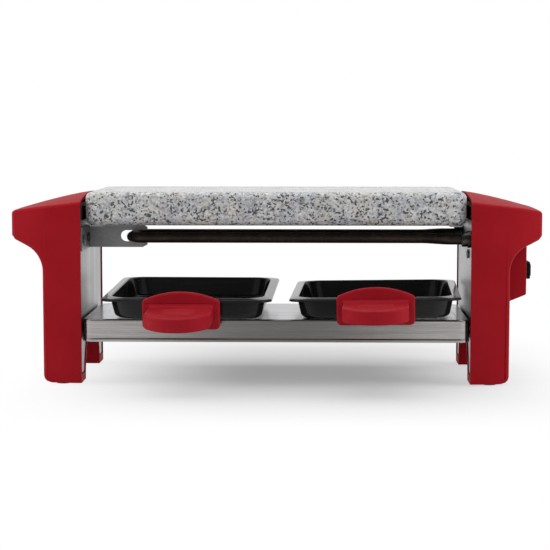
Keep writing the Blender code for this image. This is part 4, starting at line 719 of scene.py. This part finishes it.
class Workshop:
    """Puts pieces into the scene."""

    def __init__(self, nodes: Dict[str, bpy.types.Object]) -> None:
        """Keep the CAD nodes by their names."""
        self.nodes = nodes

    def piece(self, name: str, mesh: bpy.types.Mesh, finish: Finish, body: str, node: str) -> None:
        """Make a piece of a mesh, dress it, and let it ride on a body.

        Args:
            name: The piece's name.
            mesh: Its mesh, in place.
            finish: Its finish.
            body: The CAD body that it moves with.
            node: The CAD node that it stands for.
        """
        made = linked(name, mesh)
        mesh.materials.clear()
        mesh.materials.append(finish.material())
        made.modifiers.new("flat_faces_lead", "WEIGHTED_NORMAL").keep_sharp = True
        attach(made, body)
        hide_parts(node)
        LOG.info("%s: %d faces, on %s", name, len(mesh.polygons), body)

    def shape(self, name: str, grids: Sequence[Grid], finish: Finish, body: str, node: str,
              closed: bool = True, sharp: float = 40.0) -> None:
        """Join grids to one mesh and make a piece of it, with the arguments of joined and piece."""
        self.piece(name, joined(name, grids, closed=closed, sharp=sharp), finish, body, node)

    def smoothed(self, node: str, finish: Finish) -> None:
        """Stand a merged and smoothly shaded copy in for a frame node of the right shape."""
        mesh = settled(self.nodes[node].data.copy(), COPY_SHARP, False)
        self.piece(node + "_form", mesh, finish, "frame", node)

    def dress(self, node: str, finish: Finish) -> None:
        """Give a CAD node that stays a better material.

        Args:
            node: The CAD node.
            finish: Its finish.
        """
        slots = self.nodes[node].data.materials
        slots.clear()
        slots.append(finish.material())
        LOG.info("%s: dressed in %s", node, finish.name)


# Sub-assemblies

@dataclass
class SubAssembly:
    """Pieces that belong together, and the workshop that puts them into the scene."""

    shop: Workshop

    def build(self) -> None:
        """Make the pieces and dress the CAD nodes that stay."""
        raise NotImplementedError


@dataclass
class Housings(SubAssembly):
    """The two moulded end housings with their side plates."""

    sides: Tuple[str, str] = ("left", "right")

    def build(self) -> None:
        """Stand smoothly shaded copies in for the housings and dress the plates."""
        for side in self.sides:
            self.shop.smoothed(f"{side}_housing", RED)
            self.shop.dress(f"{side}_side_plate", PLATE_STEEL)


@dataclass
class CookingStone(SubAssembly):
    """Granite slab with rounded corners, a tight upper edge and a fuller lower one."""

    corner: float = 0.009
    least_corner: float = 0.0008
    upper_edge: float = 0.004
    lower_edge: float = 0.0062
    lids: Pair = (0.003, 0.0015)
    runs: Counts = (60, 26)
    steps: int = 10

    def build(self) -> None:
        """Loft of rounded rectangles whose inset follows a quarter circle at each edge."""
        low, high, middle, half = room("cooking_stone")
        upper, lower = self.upper_edge, self.lower_edge
        profile = np.concatenate([[(upper + self.lids[0], high[2])],
                                  bow((upper, high[2] - upper), upper, 90.0, 180.0, self.steps),
                                  bow((lower, low[2] + lower), lower, 180.0, 270.0, self.steps),
                                  [(lower + self.lids[1], low[2])]])
        rows = [(half[0] - inset, half[1] - inset, max(self.corner - inset, self.least_corner), level)
                for inset, level in profile]
        grid = lofted(rows, self.runs, CORNER_STEPS) + middle * LEVEL
        self.shop.shape("cooking_slab", [grid], GRANITE, "stone", "cooking_stone")


@dataclass
class Tray(SubAssembly):
    """Inverted drawn tray with a folded hem and pads pressed out to meet the side plates."""

    corner: float = 0.0055
    least_corner: float = 0.0012
    edge: float = 0.0011
    sheet: float = 0.0007
    hem: float = 0.0018
    hem_slope: Pair = (0.0004, 0.0001)
    step: float = 0.0003
    lid: float = 0.012
    half_x: float = 0.1169
    longest_stretch: float = 0.0005
    runs: Counts = (90, 88)
    steps: int = 6
    pad_radius: float = 0.0034
    pad_slope: float = 0.0012
    pad_zone: float = 0.004
    pad_setbacks: Pair = (0.0155, 0.0755)

    def build(self) -> None:
        """Loft of rounded rectangles along the tray's section, out over the skirt and back inside."""
        low, high, middle, half = room("tray")
        foot, top = low[2], high[2]
        shoulder, inner, under = foot + self.hem, self.step + self.sheet, top - self.sheet
        section = [(self.lid, top, 0.0), (self.step, top, self.edge),
                   (self.step, shoulder + self.hem_slope[0], 0.0002),
                   (0.0, shoulder - self.hem_slope[1], 0.0004), (0.0, foot, 0.0006), (inner, foot, 0.0005),
                   (inner, under, self.edge - self.sheet), (self.lid, under, 0.0)]
        rows = [(self.half_x - inset, half[1] - inset, max(self.corner - inset, self.least_corner), level)
                for inset, level in self.divided(softened(section, self.steps))]
        grid = lofted(rows, self.runs, CORNER_STEPS)
        self.press_pads(grid, high[0], -half[1], middle[2])
        grid[..., 1] += middle[1]
        self.shop.shape("pan_tray", [grid], TRAY_STEEL, "frame", "tray")

    def divided(self, profile: Grid) -> Grid:
        """The profile with all stretches past the first divided evenly.

        Args:
            profile: Inset and height of each point.

        Returns:
            The finer profile.
        """
        parts = [profile[:1]]
        for start, end in zip(profile, profile[1:]):
            length = np.linalg.norm(end - start) if start[0] < self.lid else 0.0
            steps = max(1, int(length / self.longest_stretch))
            share = np.linspace(0.0, 1.0, steps + 1)[1:, None]
            parts.append(start * (1.0 - share) + end * share)
        return np.concatenate(parts)

    def press_pads(self, grid: Grid, reach: float, front: float, height: float) -> None:
        """Push round pads of the skirt outward: full reach within a radius, easing back to
        nothing over the slope.

        Args:
            grid: The tray's grid, which is changed.
            reach: How far out the pads go.
            front: The front edge's depth.
            height: The pads' height.
        """
        for setback in self.pad_setbacks:
            away = np.hypot(grid[..., 1] - (front + setback), grid[..., 2] - height)
            share = easing((self.pad_radius + self.pad_slope - away) / self.pad_slope)
            ends = np.abs(grid[..., 0]) > self.half_x - self.pad_zone
            grid[..., 0] += np.sign(grid[..., 0]) * (reach - self.half_x + self.step) * share * ends


@dataclass
class Heating(SubAssembly):
    """Hairpin element with its bracket, bushes, nuts, terminals and thermal cut-out."""

    rod: float = 0.0032
    tip: float = 0.0896
    bend: float = 0.009
    spread: float = 0.016
    splay_start: float = 0.088
    splay_end: float = 0.106
    terminal: float = 0.027
    ring_points: int = 32
    splay_steps: int = 28
    straight_steps: int = 40
    bend_steps: int = 16
    least_gap: float = 0.000001

    def build(self) -> None:
        """Carry the rod's ring along its path, then dress what holds it."""
        _, high, middle, _ = room("heating_element")
        path = self.path(high[0], middle[1])
        ring = np.linspace(0.0, 2.0 * np.pi, self.ring_points, endpoint=False)
        along = unit(np.gradient(path, axis=0))
        side = np.stack([-along[:, 1], along[:, 0]], axis=1)
        flat = path[:, None] + self.rod * np.cos(ring)[:, None] * side[:, None]
        level = np.broadcast_to(middle[2] + self.rod * np.sin(ring), flat.shape[:2])
        grid = np.concatenate([flat, level[..., None]], axis=2)
        self.shop.shape("hairpin_rod", [grid], ROD_STEEL, "frame", "heating_element")
        self.shop.dress("element_bracket", DULL_STEEL)
        held = {"element_bush": BUSH_STEEL, "element_nut": BRASS, "terminal_bead": CERAMIC,
                "terminal_pin": SCREW_STEEL}
        for place in ("front", "rear"):
            for kind, finish in held.items():
                self.shop.smoothed(f"{kind}_{place}", finish)
        self.shop.smoothed("thermal_cutout", CERAMIC)

    def path(self, end: float, middle: float) -> Grid:
        """Middle line from the front terminal round the tip to the rear one: straight, eased in
        by a smooth step between the splay's two ends, straight again, then two quarter bends.

        Args:
            end: How far the terminals reach.
            middle: Depth of the line between the two legs.

        Returns:
            Points of the line, (count, 2).
        """
        share = np.linspace(0.0, 1.0, self.splay_steps + 1)
        splay = np.stack([self.splay_end + (self.splay_start - self.splay_end) * share,
                          self.terminal + (self.spread - self.terminal) * easing(share)], axis=1)
        centre, rise = self.bend - self.tip, self.spread - self.bend
        run = np.linspace(self.splay_start, centre + rise, self.straight_steps)[1:]
        straight = np.stack([run, np.full(len(run), self.spread)], axis=1)
        leg = np.concatenate([[[end, self.terminal]], splay, straight,
                              bow((centre, rise), self.bend, 90.0, 180.0, self.bend_steps)])
        leg = leg[np.append(True, np.linalg.norm(np.diff(leg, axis=0), axis=1) > self.least_gap)]
        both = np.concatenate([leg, leg[::-1] * (1.0, -1.0)])
        return np.stack([both[:, 0], middle - both[:, 1]], axis=1)


@dataclass
class CrossScrew:
    """Pan head screw with a cross recess. Crown radius, its fall, the brim and the least height at
    which the cross is pressed in are shares of the head's rise."""

    head: float = 0.0029
    rise: float = 0.0014
    shank: float = 0.0015
    point: float = 0.0012
    crown_radius: float = 3.1
    crown_fall: float = 0.55
    brim: float = 0.9
    under_edge: float = 0.0002
    slot: float = 0.0008
    slot_slope: float = 0.0002
    reach: float = 0.0019
    end_slope: float = 0.0003
    depth: float = 0.0009
    least_height: float = 0.8
    steps: int = 22
    points: int = 64

    def grid(self, place: Sequence[float], aim: Sequence[float], length: float) -> Grid:
        """Turned profile with a cross pressed into the head: depth eased by the smaller of
        the distances from the two arms.

        Args:
            place: The middle of the head's top.
            aim: The way the shank points.
            length: The whole length, head included.

        Returns:
            The grid, in place.
        """
        radius = self.rise * self.crown_radius
        crown = bow((0.0, -radius), radius, 90.0, 50.0, self.steps)
        crown[:, 0] *= self.head / crown[-1, 0]
        crown[:, 1] *= self.crown_fall * self.rise / -crown[-1, 1]
        rest = [(self.head, -self.rise * self.brim), (self.head - self.under_edge, -self.rise),
                (self.shank, -self.rise), (self.shank, self.point - length), (0.0, -length)]
        grid = turned(np.concatenate([crown, rest]), self.points)
        arms = np.abs(grid[..., :2])
        sunk = easing((self.slot / 2.0 + self.slot_slope / 2.0 - arms.min(axis=2)) / self.slot_slope)
        sunk *= easing((self.reach - arms.max(axis=2)) / self.end_slope)
        sunk *= grid[..., 2] > -self.rise * self.least_height
        grid[..., 2] -= self.depth * sunk
        return aimed(grid, place, [-value for value in aim])


@dataclass
class Fasteners(SubAssembly):
    """All screws of the frame, each made anew at its CAD node's place."""

    names: Tuple[str, ...] = (*(f"tray_screw_{corner}" for corner in CORNERS), "bracket_screw_front",
                              "bracket_screw_rear", "plate_screw", "block_screw")

    def build(self) -> None:
        """Make each screw from its node's box: the head is at the end nearer to the middle."""
        for name in self.names:
            low, high, middle, _ = room(name)
            side = 1.0 if middle[0] > 0.0 else -1.0
            place = (low[0] if side > 0.0 else high[0], *middle[1:])
            finish = DARK_SCREW if name.startswith(("bracket", "plate")) else SCREW_STEEL
            grid = CrossScrew().grid(place, (side, 0.0, 0.0), high[0] - low[0])
            self.shop.shape(name + "_turned", [grid], finish, "frame", name, False, SCREW_SHARP)


@dataclass
class Feet(SubAssembly):
    """Turned rubber feet with a stem, a rounded sole and a shallow ring in it."""

    stem: float = 0.0026
    sole: float = 0.0005
    ring: float = 0.003
    fine: float = 0.0002
    stem_edge: float = 0.0004
    steps: int = 3
    points: int = 40

    def build(self) -> None:
        """Turn each foot's profile, its corners rounded, on its node's axis."""
        for name in (f"foot_{corner}" for corner in CORNERS):
            _, high, middle, half = room(name)
            corners = [(0.0, high[2], 0.0), (self.stem, high[2], self.stem_edge), (self.stem, self.sole, 0.0),
                       (half[0], self.sole, self.fine), (half[0] - self.fine, 0.0, self.fine),
                       (self.ring + self.fine, 0.0, 0.0), (self.ring, self.fine, 0.0), (0.0, self.fine, 0.0)]
            grid = turned(softened(corners, self.steps), self.points) + middle * LEVEL
            self.shop.shape(name + "_turned", [grid], RUBBER, "frame", name, closed=False)


@dataclass
class RockerSwitch(SubAssembly):
    """Rocker with two raised ends in a round-edged bezel, and its tabs."""

    half: float = 0.0052
    half_height: float = 0.0036
    end_rise: float = 0.0039
    middle_rise: float = 0.003
    keel: float = 0.0016
    keel_half: float = 0.003
    tilt: float = 12.0
    edge: float = 0.0004
    lid: float = 0.0004
    edge_steps: Counts = (6, 4)
    bezel_rise: float = 0.0018
    bezel_lip: float = 0.0021
    bezel_edge: float = 0.0006
    bezel_corner: float = 0.0012
    play: float = 0.0007
    well: float = 0.0034
    well_corner: float = 0.0005
    well_slope: float = 0.0002
    body_inset: Pair = (0.0009, 0.0006)
    body_corner: float = 0.0008
    runs: Counts = (8, 6)
    steps: int = 5

    def build(self) -> None:
        """Loft the bezel and the body, then the rocker between them."""
        low, high, middle, half = room("switch_body")
        pin = np.array([high[0] - self.bezel_rise, middle[1], room("switch_rocker")[2][2]])
        bezel = self.bezel(low[0] - pin[0], half[1], half[2]) + pin
        self.shop.shape("switch_bezel", [bezel], BLACK, "frame", "switch_body")
        rocker = moved(self.rocker(), Matrix.Rotation(math.radians(self.tilt), 4, "Z")) + pin
        self.shop.shape("rocker_cap", [rocker], BLACK, "rocker", "switch_rocker")
        for place in ("upper", "lower"):
            self.shop.dress(f"switch_tab_{place}", BRASS)

    def bezel(self, back: float, half_y: float, half_z: float) -> Grid:
        """Loft of rounded rectangles from the body's back to the bezel's foot, up its side, over
        a quarter round and down into the rocker's well.

        Args:
            back: Place of the body's back, counted outwards from the bezel's foot.
            half_y: Half the bezel's depth.
            half_z: Half its height.

        Returns:
            The grid, with the rocker's pin at the origin.
        """
        top = self.bezel_rise + self.bezel_lip
        body = (half_y - self.body_inset[0], half_z - self.body_inset[1], self.body_corner)
        window = (self.half + self.play, self.half_height + self.play, self.well_corner)
        rows = [(*body, back), (*body, 0.0), (half_y, half_z, self.bezel_corner, 0.0)]
        rows += [(half_y - inset, half_z - inset, self.bezel_corner, top - down)
                 for down, inset in zip(*quarter_round(self.bezel_edge, self.steps))]
        rows += [(*window, top - self.well_slope), (*window, -self.well)]
        return np.roll(lofted(rows, self.runs, self.steps), 1, axis=2)

    def rocker(self) -> Grid:
        """The rocker's section carried along its pin, drawn in by a quarter round at both ends.

        Returns:
            The grid, with the middle of the pin at the origin.
        """
        lower = [(-self.keel, -self.keel_half, 0.0005), (self.keel / 2.0, -self.half, 0.0006),
                 (self.end_rise, -self.half, 0.0009)]
        upper = [(out, -along, rounding) for out, along, rounding in lower[::-1]]
        loop = softened([*lower, (self.middle_rise, 0.0, 0.003), *upper], self.edge_steps[0], closed=True)
        cap = plate(loop, 2.0 * self.half_height, self.edge, self.edge_steps[1], self.lid)
        return cap - (0.0, 0.0, self.half_height)


@dataclass
class MainsParts(SubAssembly):
    """Terminal block, cord gland and internal leads."""

    leads: Tuple[str, ...] = ("supply", "switched", "heater", "return")

    def build(self) -> None:
        """Dress the parts on the mains side, round ones as smooth copies."""
        self.shop.dress("terminal_block", CERAMIC)
        self.shop.smoothed("cord_gland", BLACK)
        for lead in self.leads:
            self.shop.smoothed(f"lead_{lead}", SLEEVE)


class Word(Enum):
    """Which of the two pans."""

    LEFT = "left"
    RIGHT = "right"


@dataclass
class Pan(SubAssembly):
    """Drawn pan with a flat rim, and a moulded handle with an arched shield and a ribbed grip."""

    word: Word
    centre: Place
    yaw: float
    tip: float
    roll: float
    drop: float
    droop: float
    shift: float
    half: float = 0.0515
    rim: float = 0.0043
    rim_roll: float = 0.0022
    rim_fall: float = 0.0008
    height: float = 0.0135
    sheet: float = 0.0008
    draft: float = 0.0025
    rim_corner: float = 0.0065
    base_corner: float = 0.01
    foot: float = 0.002
    lid: float = 0.012
    rim_zone: float = 0.0006
    wall_bend: float = 0.2
    most_bend: float = 0.6
    runs: Counts = (24, 24)
    section_steps: int = 7
    shield_width: float = 0.0465
    shield_thickness: float = 0.0034
    shield_below: float = 0.0137
    shield_shoulder: float = 0.0036
    shield_crown: float = 0.0054
    shield_corner: float = 0.003
    shield_brow: float = 0.0015
    shield_gap: float = 0.0008
    shield_lid: float = 0.0008
    brow_turn: float = 65.0
    shield_steps: Tuple[int, int, int] = (8, 5, 40)
    grip_width: float = 0.0388
    grip_length: float = 0.0238
    grip_thickness: float = 0.009
    grip_belly: float = 0.0006
    grip_bow: float = 0.01395
    grip_dish: float = 0.0005
    dish_start: float = 0.006
    dish_slope: float = 0.012
    grip_points: Tuple[int, int, int] = (81, 170, 8)
    fillet_radius: float = 0.0022
    edge: float = 0.0012
    edge_steps: int = 6
    ribs: int = 6
    rib_pitch: float = 0.0026
    rib_depth: float = 0.0005
    rib_length: float = 0.026
    rib_fades: Pair = (0.0008, 0.006)
    rib_inset: float = 0.4
    rib_power: float = 1.5
    screw_setback: float = 0.012
    screw_sunk: float = 0.0003
    screw_length: float = 0.0055

    @property
    def pose(self) -> Matrix:
        """Where the pan stands: turned and tipped, and raised so that its base stays above the tray.

        Returns:
            The rigid matrix from the pan's own coordinates.
        """
        turn = Euler([math.radians(angle) for angle in (self.tip, self.roll, self.yaw)])
        tip, roll = (abs(math.sin(value)) for value in turn[:2])
        stance = self.half - self.rim - self.draft - self.foot
        lift = (stance - self.base_corner) * (tip + roll) + self.base_corner * math.hypot(tip, roll)
        return Matrix.Translation(Vector(self.centre) + Vector((0.0, 0.0, lift))) @ turn.to_matrix().to_4x4()

    @property
    def handle_pose(self) -> Matrix:
        """Where the handle's own origin is: in front of the rim, at the top of the grip."""
        place = (self.shift, -self.half - self.shield_gap, self.height - self.drop)
        return self.pose @ Matrix.Translation(place) @ Matrix.Rotation(math.radians(self.droop), 4, "X")

    def build(self) -> None:
        """Build dish, handle and screw, and dress the tang."""
        name, body = f"pan_{self.word.value}", f"{self.word.value}_pan"
        frame = self.handle_pose
        self.shop.shape(name + "_drawn_dish", [moved(self.dish(), self.pose)], COATING, body, name + "_dish")
        self.shop.shape(name + "_moulded_handle", [moved(self.shield(), frame), moved(self.grip(), frame)],
                        HANDLE_RED, body, name + "_handle")
        self.shop.dress(name + "_tang", SCREW_STEEL)
        place = frame @ Vector((0.0, -self.shield_thickness - self.screw_setback,
                                self.screw_sunk - self.grip_thickness))
        aim = frame.to_3x3() @ Vector((0.0, 0.0, 1.0))
        grid = CrossScrew().grid(place, aim, self.screw_length)
        self.shop.shape(name + "_handle_screw", [grid], SCREW_STEEL, body, name + "_screw", False,
                        SCREW_SHARP)

    def dish(self) -> Grid:
        """Loft along the pan's section: over the floor, up the drawn wall, out over the rim, which
        falls a little outwards, round its edge and back underneath.

        Returns:
            The grid, with the middle of the base at the origin.
        """
        wall = self.half - self.rim
        lean = self.draft / self.height
        base = wall - self.draft
        brink, roll = self.height - self.rim_fall, self.height - self.rim_roll
        corners = [(base - self.lid, self.sheet, 0.0), (base - self.sheet, self.sheet, self.foot),
                   (wall - self.sheet - lean * self.sheet, self.height, 0.001),
                   (self.half, brink, 0.0011), (self.half, roll, 0.0003),
                   (self.half - self.sheet, roll, 0.0003),
                   (self.half - self.sheet, brink - self.sheet, 0.0005),
                   (wall, self.height - self.sheet, 0.0006), (base, 0.0, self.foot + self.sheet),
                   (base - self.lid, 0.0, 0.0)]
        section = softened(corners, self.section_steps)
        reach, level = section.T
        share = np.clip((self.height - level) / self.height, 0.0, 1.0)
        below = self.rim_corner + self.rim + (self.base_corner - self.rim_corner) * self.wall_bend * share
        bend = np.where(reach > wall - self.rim_zone, self.rim_corner + self.half - reach, below)
        rows = np.stack([reach, reach, np.minimum(bend, reach * self.most_bend), level], axis=1)
        return lofted(rows, self.runs, CORNER_STEPS)

    def shield(self) -> Grid:
        """Arched plate: its front view drawn in by a quarter round towards both faces.

        Returns:
            The grid, with the handle's origin at its own.
        """
        half, corner, brow = self.shield_width / 2.0, self.shield_corner, self.shield_brow
        _, radius = sagging(0.0, half, self.shield_crown)
        middle = self.shield_shoulder + self.shield_crown - radius
        limit = math.degrees(math.asin((half - self.edge) / radius))
        low, high = corner - self.shield_below, self.shield_shoulder - self.edge
        few, fewer, many = self.shield_steps
        loop = np.concatenate([bow((corner - half, low), corner, 180.0, 270.0, few),
                               bow((half - corner, low), corner, 270.0, 360.0, few),
                               bow((half - brow, high), brow, 0.0, self.brow_turn, fewer),
                               bow((0.0, middle), radius, 90.0 - limit, 90.0 + limit, many),
                               bow((brow - half, high), brow, 180.0 - self.brow_turn, 180.0, fewer)])
        grid = plate(loop, self.shield_thickness, self.edge, fewer, self.shield_lid)
        return np.stack([grid[..., 0], -grid[..., 2], grid[..., 1]], axis=2)

    def grip(self) -> Grid:
        """Tongue: at each place across it, a section in depth and height, drawn in by a quarter
        round towards the sides. The front follows a circle, the top is dished and ribbed.

        Returns:
            The grid, with the handle's origin at its own.
        """
        half, lip = self.grip_width / 2.0, self.edge
        ahead, below = quarter_round(lip, self.edge_steps)
        side = half - ahead
        over, along, back_under = self.grip_points
        flat = np.linspace(-side[0], side[0], over)[1:-1]
        across = np.concatenate([-side[::-1], flat, side])[:, None]
        past = ((np.abs(across) - side[0]) / lip).clip(0.0, 1.0)
        inset = lip * (1.0 - np.sqrt(1.0 - past ** 2))
        reach = (self.shield_thickness + self.grip_length + self.grip_bow
                 - sagging(across, half, self.grip_bow)[0] - inset)
        back = self.shield_thickness / 2.0
        depth = back + (reach - lip - back) * np.linspace(0.0, 1.0, along)
        top = self.fillet(depth - self.shield_thickness) - inset
        dished = easing((depth - self.dish_start) / self.dish_slope)
        top -= self.grip_dish * dished * (1.0 - (across / half) ** 2)
        top -= self.ribbing(across, depth)
        floor = sagging(across, half, self.grip_belly)[0] - self.grip_thickness + inset
        front, fall = reach - ahead[1:], below[1:]
        under = (reach - lip) + (back - reach + lip) * np.linspace(0.0, 1.0, back_under)
        y = np.concatenate([depth, front, front[:, ::-1], under], axis=1)
        z = np.concatenate([top, top[:, -1:] - fall, floor + fall[::-1],
                            np.broadcast_to(floor, under.shape)], axis=1)
        return np.stack([np.broadcast_to(across, y.shape), -y, z], axis=2)

    def fillet(self, away: Grid) -> Grid:
        """Height of the hollow curve between shield and grip: a quarter circle that falls to
        nothing at its radius from the shield.

        Args:
            away: Distance from the shield's front.

        Returns:
            The height above the grip.
        """
        radius = self.fillet_radius
        held = np.clip(away, 0.0, radius)
        return radius - np.sqrt(np.maximum(radius ** 2 - (radius - held) ** 2, 0.0))

    def ribbing(self, across: Grid, depth: Grid) -> Grid:
        """Depth of the ribs' grooves: a cosine wave along the grip, faded out at both ends of
        the ribbed field and at its sides.

        Args:
            across: Places from the grip's middle.
            depth: Places from the handle's rear face.

        Returns:
            The grooves' depth.
        """
        last = self.shield_thickness + self.grip_length - self.rib_pitch * self.rib_inset
        first = last - self.rib_pitch * self.ribs
        wave = 0.5 - 0.5 * np.cos(2.0 * np.pi * (depth - first) / self.rib_pitch)
        end, flank = self.rib_fades
        fade = easing((depth - first) / end) * easing((last - depth) / end)
        sides = easing((self.rib_length / 2.0 - np.abs(across)) / flank)
        return self.rib_depth * wave ** self.rib_power * fade * sides


def pans(shop: Workshop) -> List[Pan]:
    """The two pans where the photograph shows them, each turned and tipped a little.

    Args:
        shop: The workshop that takes their pieces.

    Returns:
        The left and the right pan.
    """
    along = room("left_housing")[0][1] + PAN_SETBACK
    level = room("tray")[1][2] + PAN_CLEARANCE
    return [Pan(shop, Word.LEFT, (-0.0522, along, level), yaw=-1.5, tip=2.2, roll=0.0, drop=0.0043,
                droop=1.1, shift=-0.0022),
            Pan(shop, Word.RIGHT, (0.0618, along, level), yaw=-2.4, tip=0.8, roll=-0.9, drop=0.0023,
                droop=-0.4, shift=0.0005)]


# Studio

@dataclass
class Studio:
    """Pale floor, soft light and the camera at the photograph's viewing angle."""

    camera_place: Place = (0.0246, -0.99745, 0.1585)
    camera_yaw: float = 1.461
    camera_pitch: float = 5.389
    lens: float = 106.56
    ambient: float = 0.36
    front_dim: float = 0.06
    rear_span: Pair = (-0.85, 0.2)
    side_light: float = 0.45
    side_span: Pair = (0.03, 0.35)
    floor_reach: float = 3.0
    floor_lines: int = 9
    floor_matte: Colour = (0.556, 0.556, 0.565)
    floor_glow: float = 0.244
    # Middle, inner and outer reach of the patch of painted shade, in which the matte floor also shows the
    # rendered shadow, across and along
    painted_shade_patch: Tuple[Place, Place] = ((0.02, 0.03, 0.19), (0.03, 0.09, 0.2))
    # The strip before the grill that is painted dark for glossy rays, a painted dark reflection: its spans
    # along and across, and its share
    dark_reflection_strip: Tuple[Pair, Pair] = ((0.04, 0.12), (0.03, 0.14))
    dark_reflection_share: float = 0.75
    # Colour of the painted dark reflection that the steel shows on the strip
    painted_dark_reflection: Colour = (0.1, 0.1, 0.1)

    def build(self) -> None:
        """Set up floor, world, lamps, camera and the view."""
        self.lay_floor()
        self.fill_world()
        self.hang_lamp("overhead", (0.0, 0.15, 1.15), (0.0, 0.02, 0.05), (1.5, 1.0), 9.0, True)
        self.hang_lamp("left_box", (-1.4, -0.2, 0.6), (-0.05, 0.0, 0.06), (0.9, 0.9), 16.0)
        self.hang_lamp("right_box", (1.4, -0.25, 0.55), (0.05, 0.0, 0.06), (0.9, 0.9), 14.0)
        self.hang_lamp("front_fill", (0.25, -1.9, 0.45), (0.0, 0.0, 0.06), (1.6, 0.8), 11.0)
        self.set_camera()
        bpy.context.scene.view_settings.view_transform = "Standard"

    def lay_floor(self) -> None:
        """Lay a sheet of floor that is white to the camera, but for a soft-edged patch of painted shade
        under the grill, in which the matte floor also shows the grill's rendered shadow. The strip in front
        of the grill is painted dark for glossy rays, a painted dark reflection in the steel."""
        lines = np.linspace(-self.floor_reach, self.floor_reach, self.floor_lines)
        level = np.zeros((self.floor_lines, self.floor_lines))
        flat = np.stack([*np.meshgrid(lines, lines), level], axis=2)
        floor = linked("floor", joined("floor", [flat], wrap=False, closed=False))
        material = bpy.data.materials.new("pale_floor")
        bench = Bench(material)
        x, y = bench.wires("SeparateXYZ", "XY", None, {0: bench.place()})
        across, along = ((place - middle).size().span(inner, outer)
                         for place, (middle, inner, outer) in zip((x, y), self.painted_shade_patch))
        # Painted shade: inside the patch less white is mixed in, so the matte floor there is grey even where
        # lit, around the rendered shadow
        away = 1.0 - (1.0 - across) * (1.0 - along)
        camera, glossy, through = bench.rays()
        white = bench.wire("Emission", None, {"Color": (1.0, 1.0, 1.0, 1.0)})
        matte = bench.wire("BsdfDiffuse", None, {"Color": (*self.floor_matte, 1.0)})
        share = (camera + glossy + through) * (self.floor_glow + (1.0 - self.floor_glow) * away)
        mixed = bench.wire("MixShader", None, {0: share, 1: matte, 2: white})
        # Painted dark reflection: glossy rays see a dark emission on the strip before the grill
        painted_dark_reflection = bench.wire("Emission", None, {"Color": (*self.painted_dark_reflection, 1.0)})
        ahead, beside = self.dark_reflection_strip
        near = (0.0 - y).span(*ahead) * (1.0 - x.size().span(*beside)) * glossy * self.dark_reflection_share
        mixed = bench.wire("MixShader", None, {0: near, 1: mixed, 2: painted_dark_reflection})
        bench.node("OutputMaterial", None, {"Surface": mixed})
        floor.data.materials.append(material)

    def fill_world(self) -> None:
        """World that is white behind the grill and dims, in mirrors, towards the user's side."""
        world = bpy.data.worlds.new("studio_air")
        bpy.context.scene.world = world
        bench = Bench(world)
        camera, glossy, through = bench.rays()
        seen = camera + through
        x, y = bench.wires("SeparateXYZ", "XY", None,
                           {0: bench.wire("TexCoord", output="Generated")})
        rear = y.span(*self.rear_span)
        sides = self.side_light * x.size().span(*self.side_span) * (1.0 - rear)
        dim = self.front_dim + (1.0 - self.front_dim) * rear + sides
        strength = seen + (1.0 - seen) * (glossy * dim + (1.0 - glossy) * self.ambient)
        air = bench.wire("Background", None, {"Color": (1.0, 1.0, 1.0, 1.0), "Strength": strength})
        bench.node("OutputWorld", None, {"Surface": air})

    def hang_lamp(self, name: str, place: Place, target: Place, size: Pair, power: float,
                  mirrored: bool = False) -> None:
        """Hang a soft box and aim it.

        Args:
            name: The lamp's name.
            place: Where it hangs.
            target: What it is aimed at.
            size: Its width and height.
            power: Its power in watts.
            mirrored: Whether glossy surfaces show it.
        """
        data = bpy.data.lights.new(name, "AREA")
        data.shape = "RECTANGLE"
        data.size, data.size_y = size
        data.energy = power
        lamp = linked(name, data)
        lamp.location = place
        lamp.rotation_euler = (Vector(target) - Vector(place)).to_track_quat("-Z", "Y").to_euler()
        lamp.visible_glossy = mirrored

    def set_camera(self) -> None:
        """Stand the camera where the photograph's vanishing points put it."""
        data = bpy.data.cameras.new("viewpoint")
        data.lens = self.lens
        data.sensor_width = 36.0
        data.clip_start = 0.01
        camera = linked("viewpoint", data)
        camera.location = self.camera_place
        turn = (90.0 - self.camera_pitch, 0.0, self.camera_yaw)
        camera.rotation_euler = [math.radians(angle) for angle in turn]
        bpy.context.scene.camera = camera


def main() -> None:
    """Build every sub-assembly in order, then the studio."""
    logging.basicConfig(level=logging.INFO, format="%(name)s %(message)s")
    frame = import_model()
    shop = Workshop(frame["nodes"])
    kinds = (Housings, CookingStone, Tray, Heating, Fasteners, Feet, RockerSwitch, MainsParts)
    for maker in (*(kind(shop) for kind in kinds), *pans(shop)):
        maker.build()
    Studio().build()
    LOG.info("all pieces made")


if __name__ == "__main__":
    main()
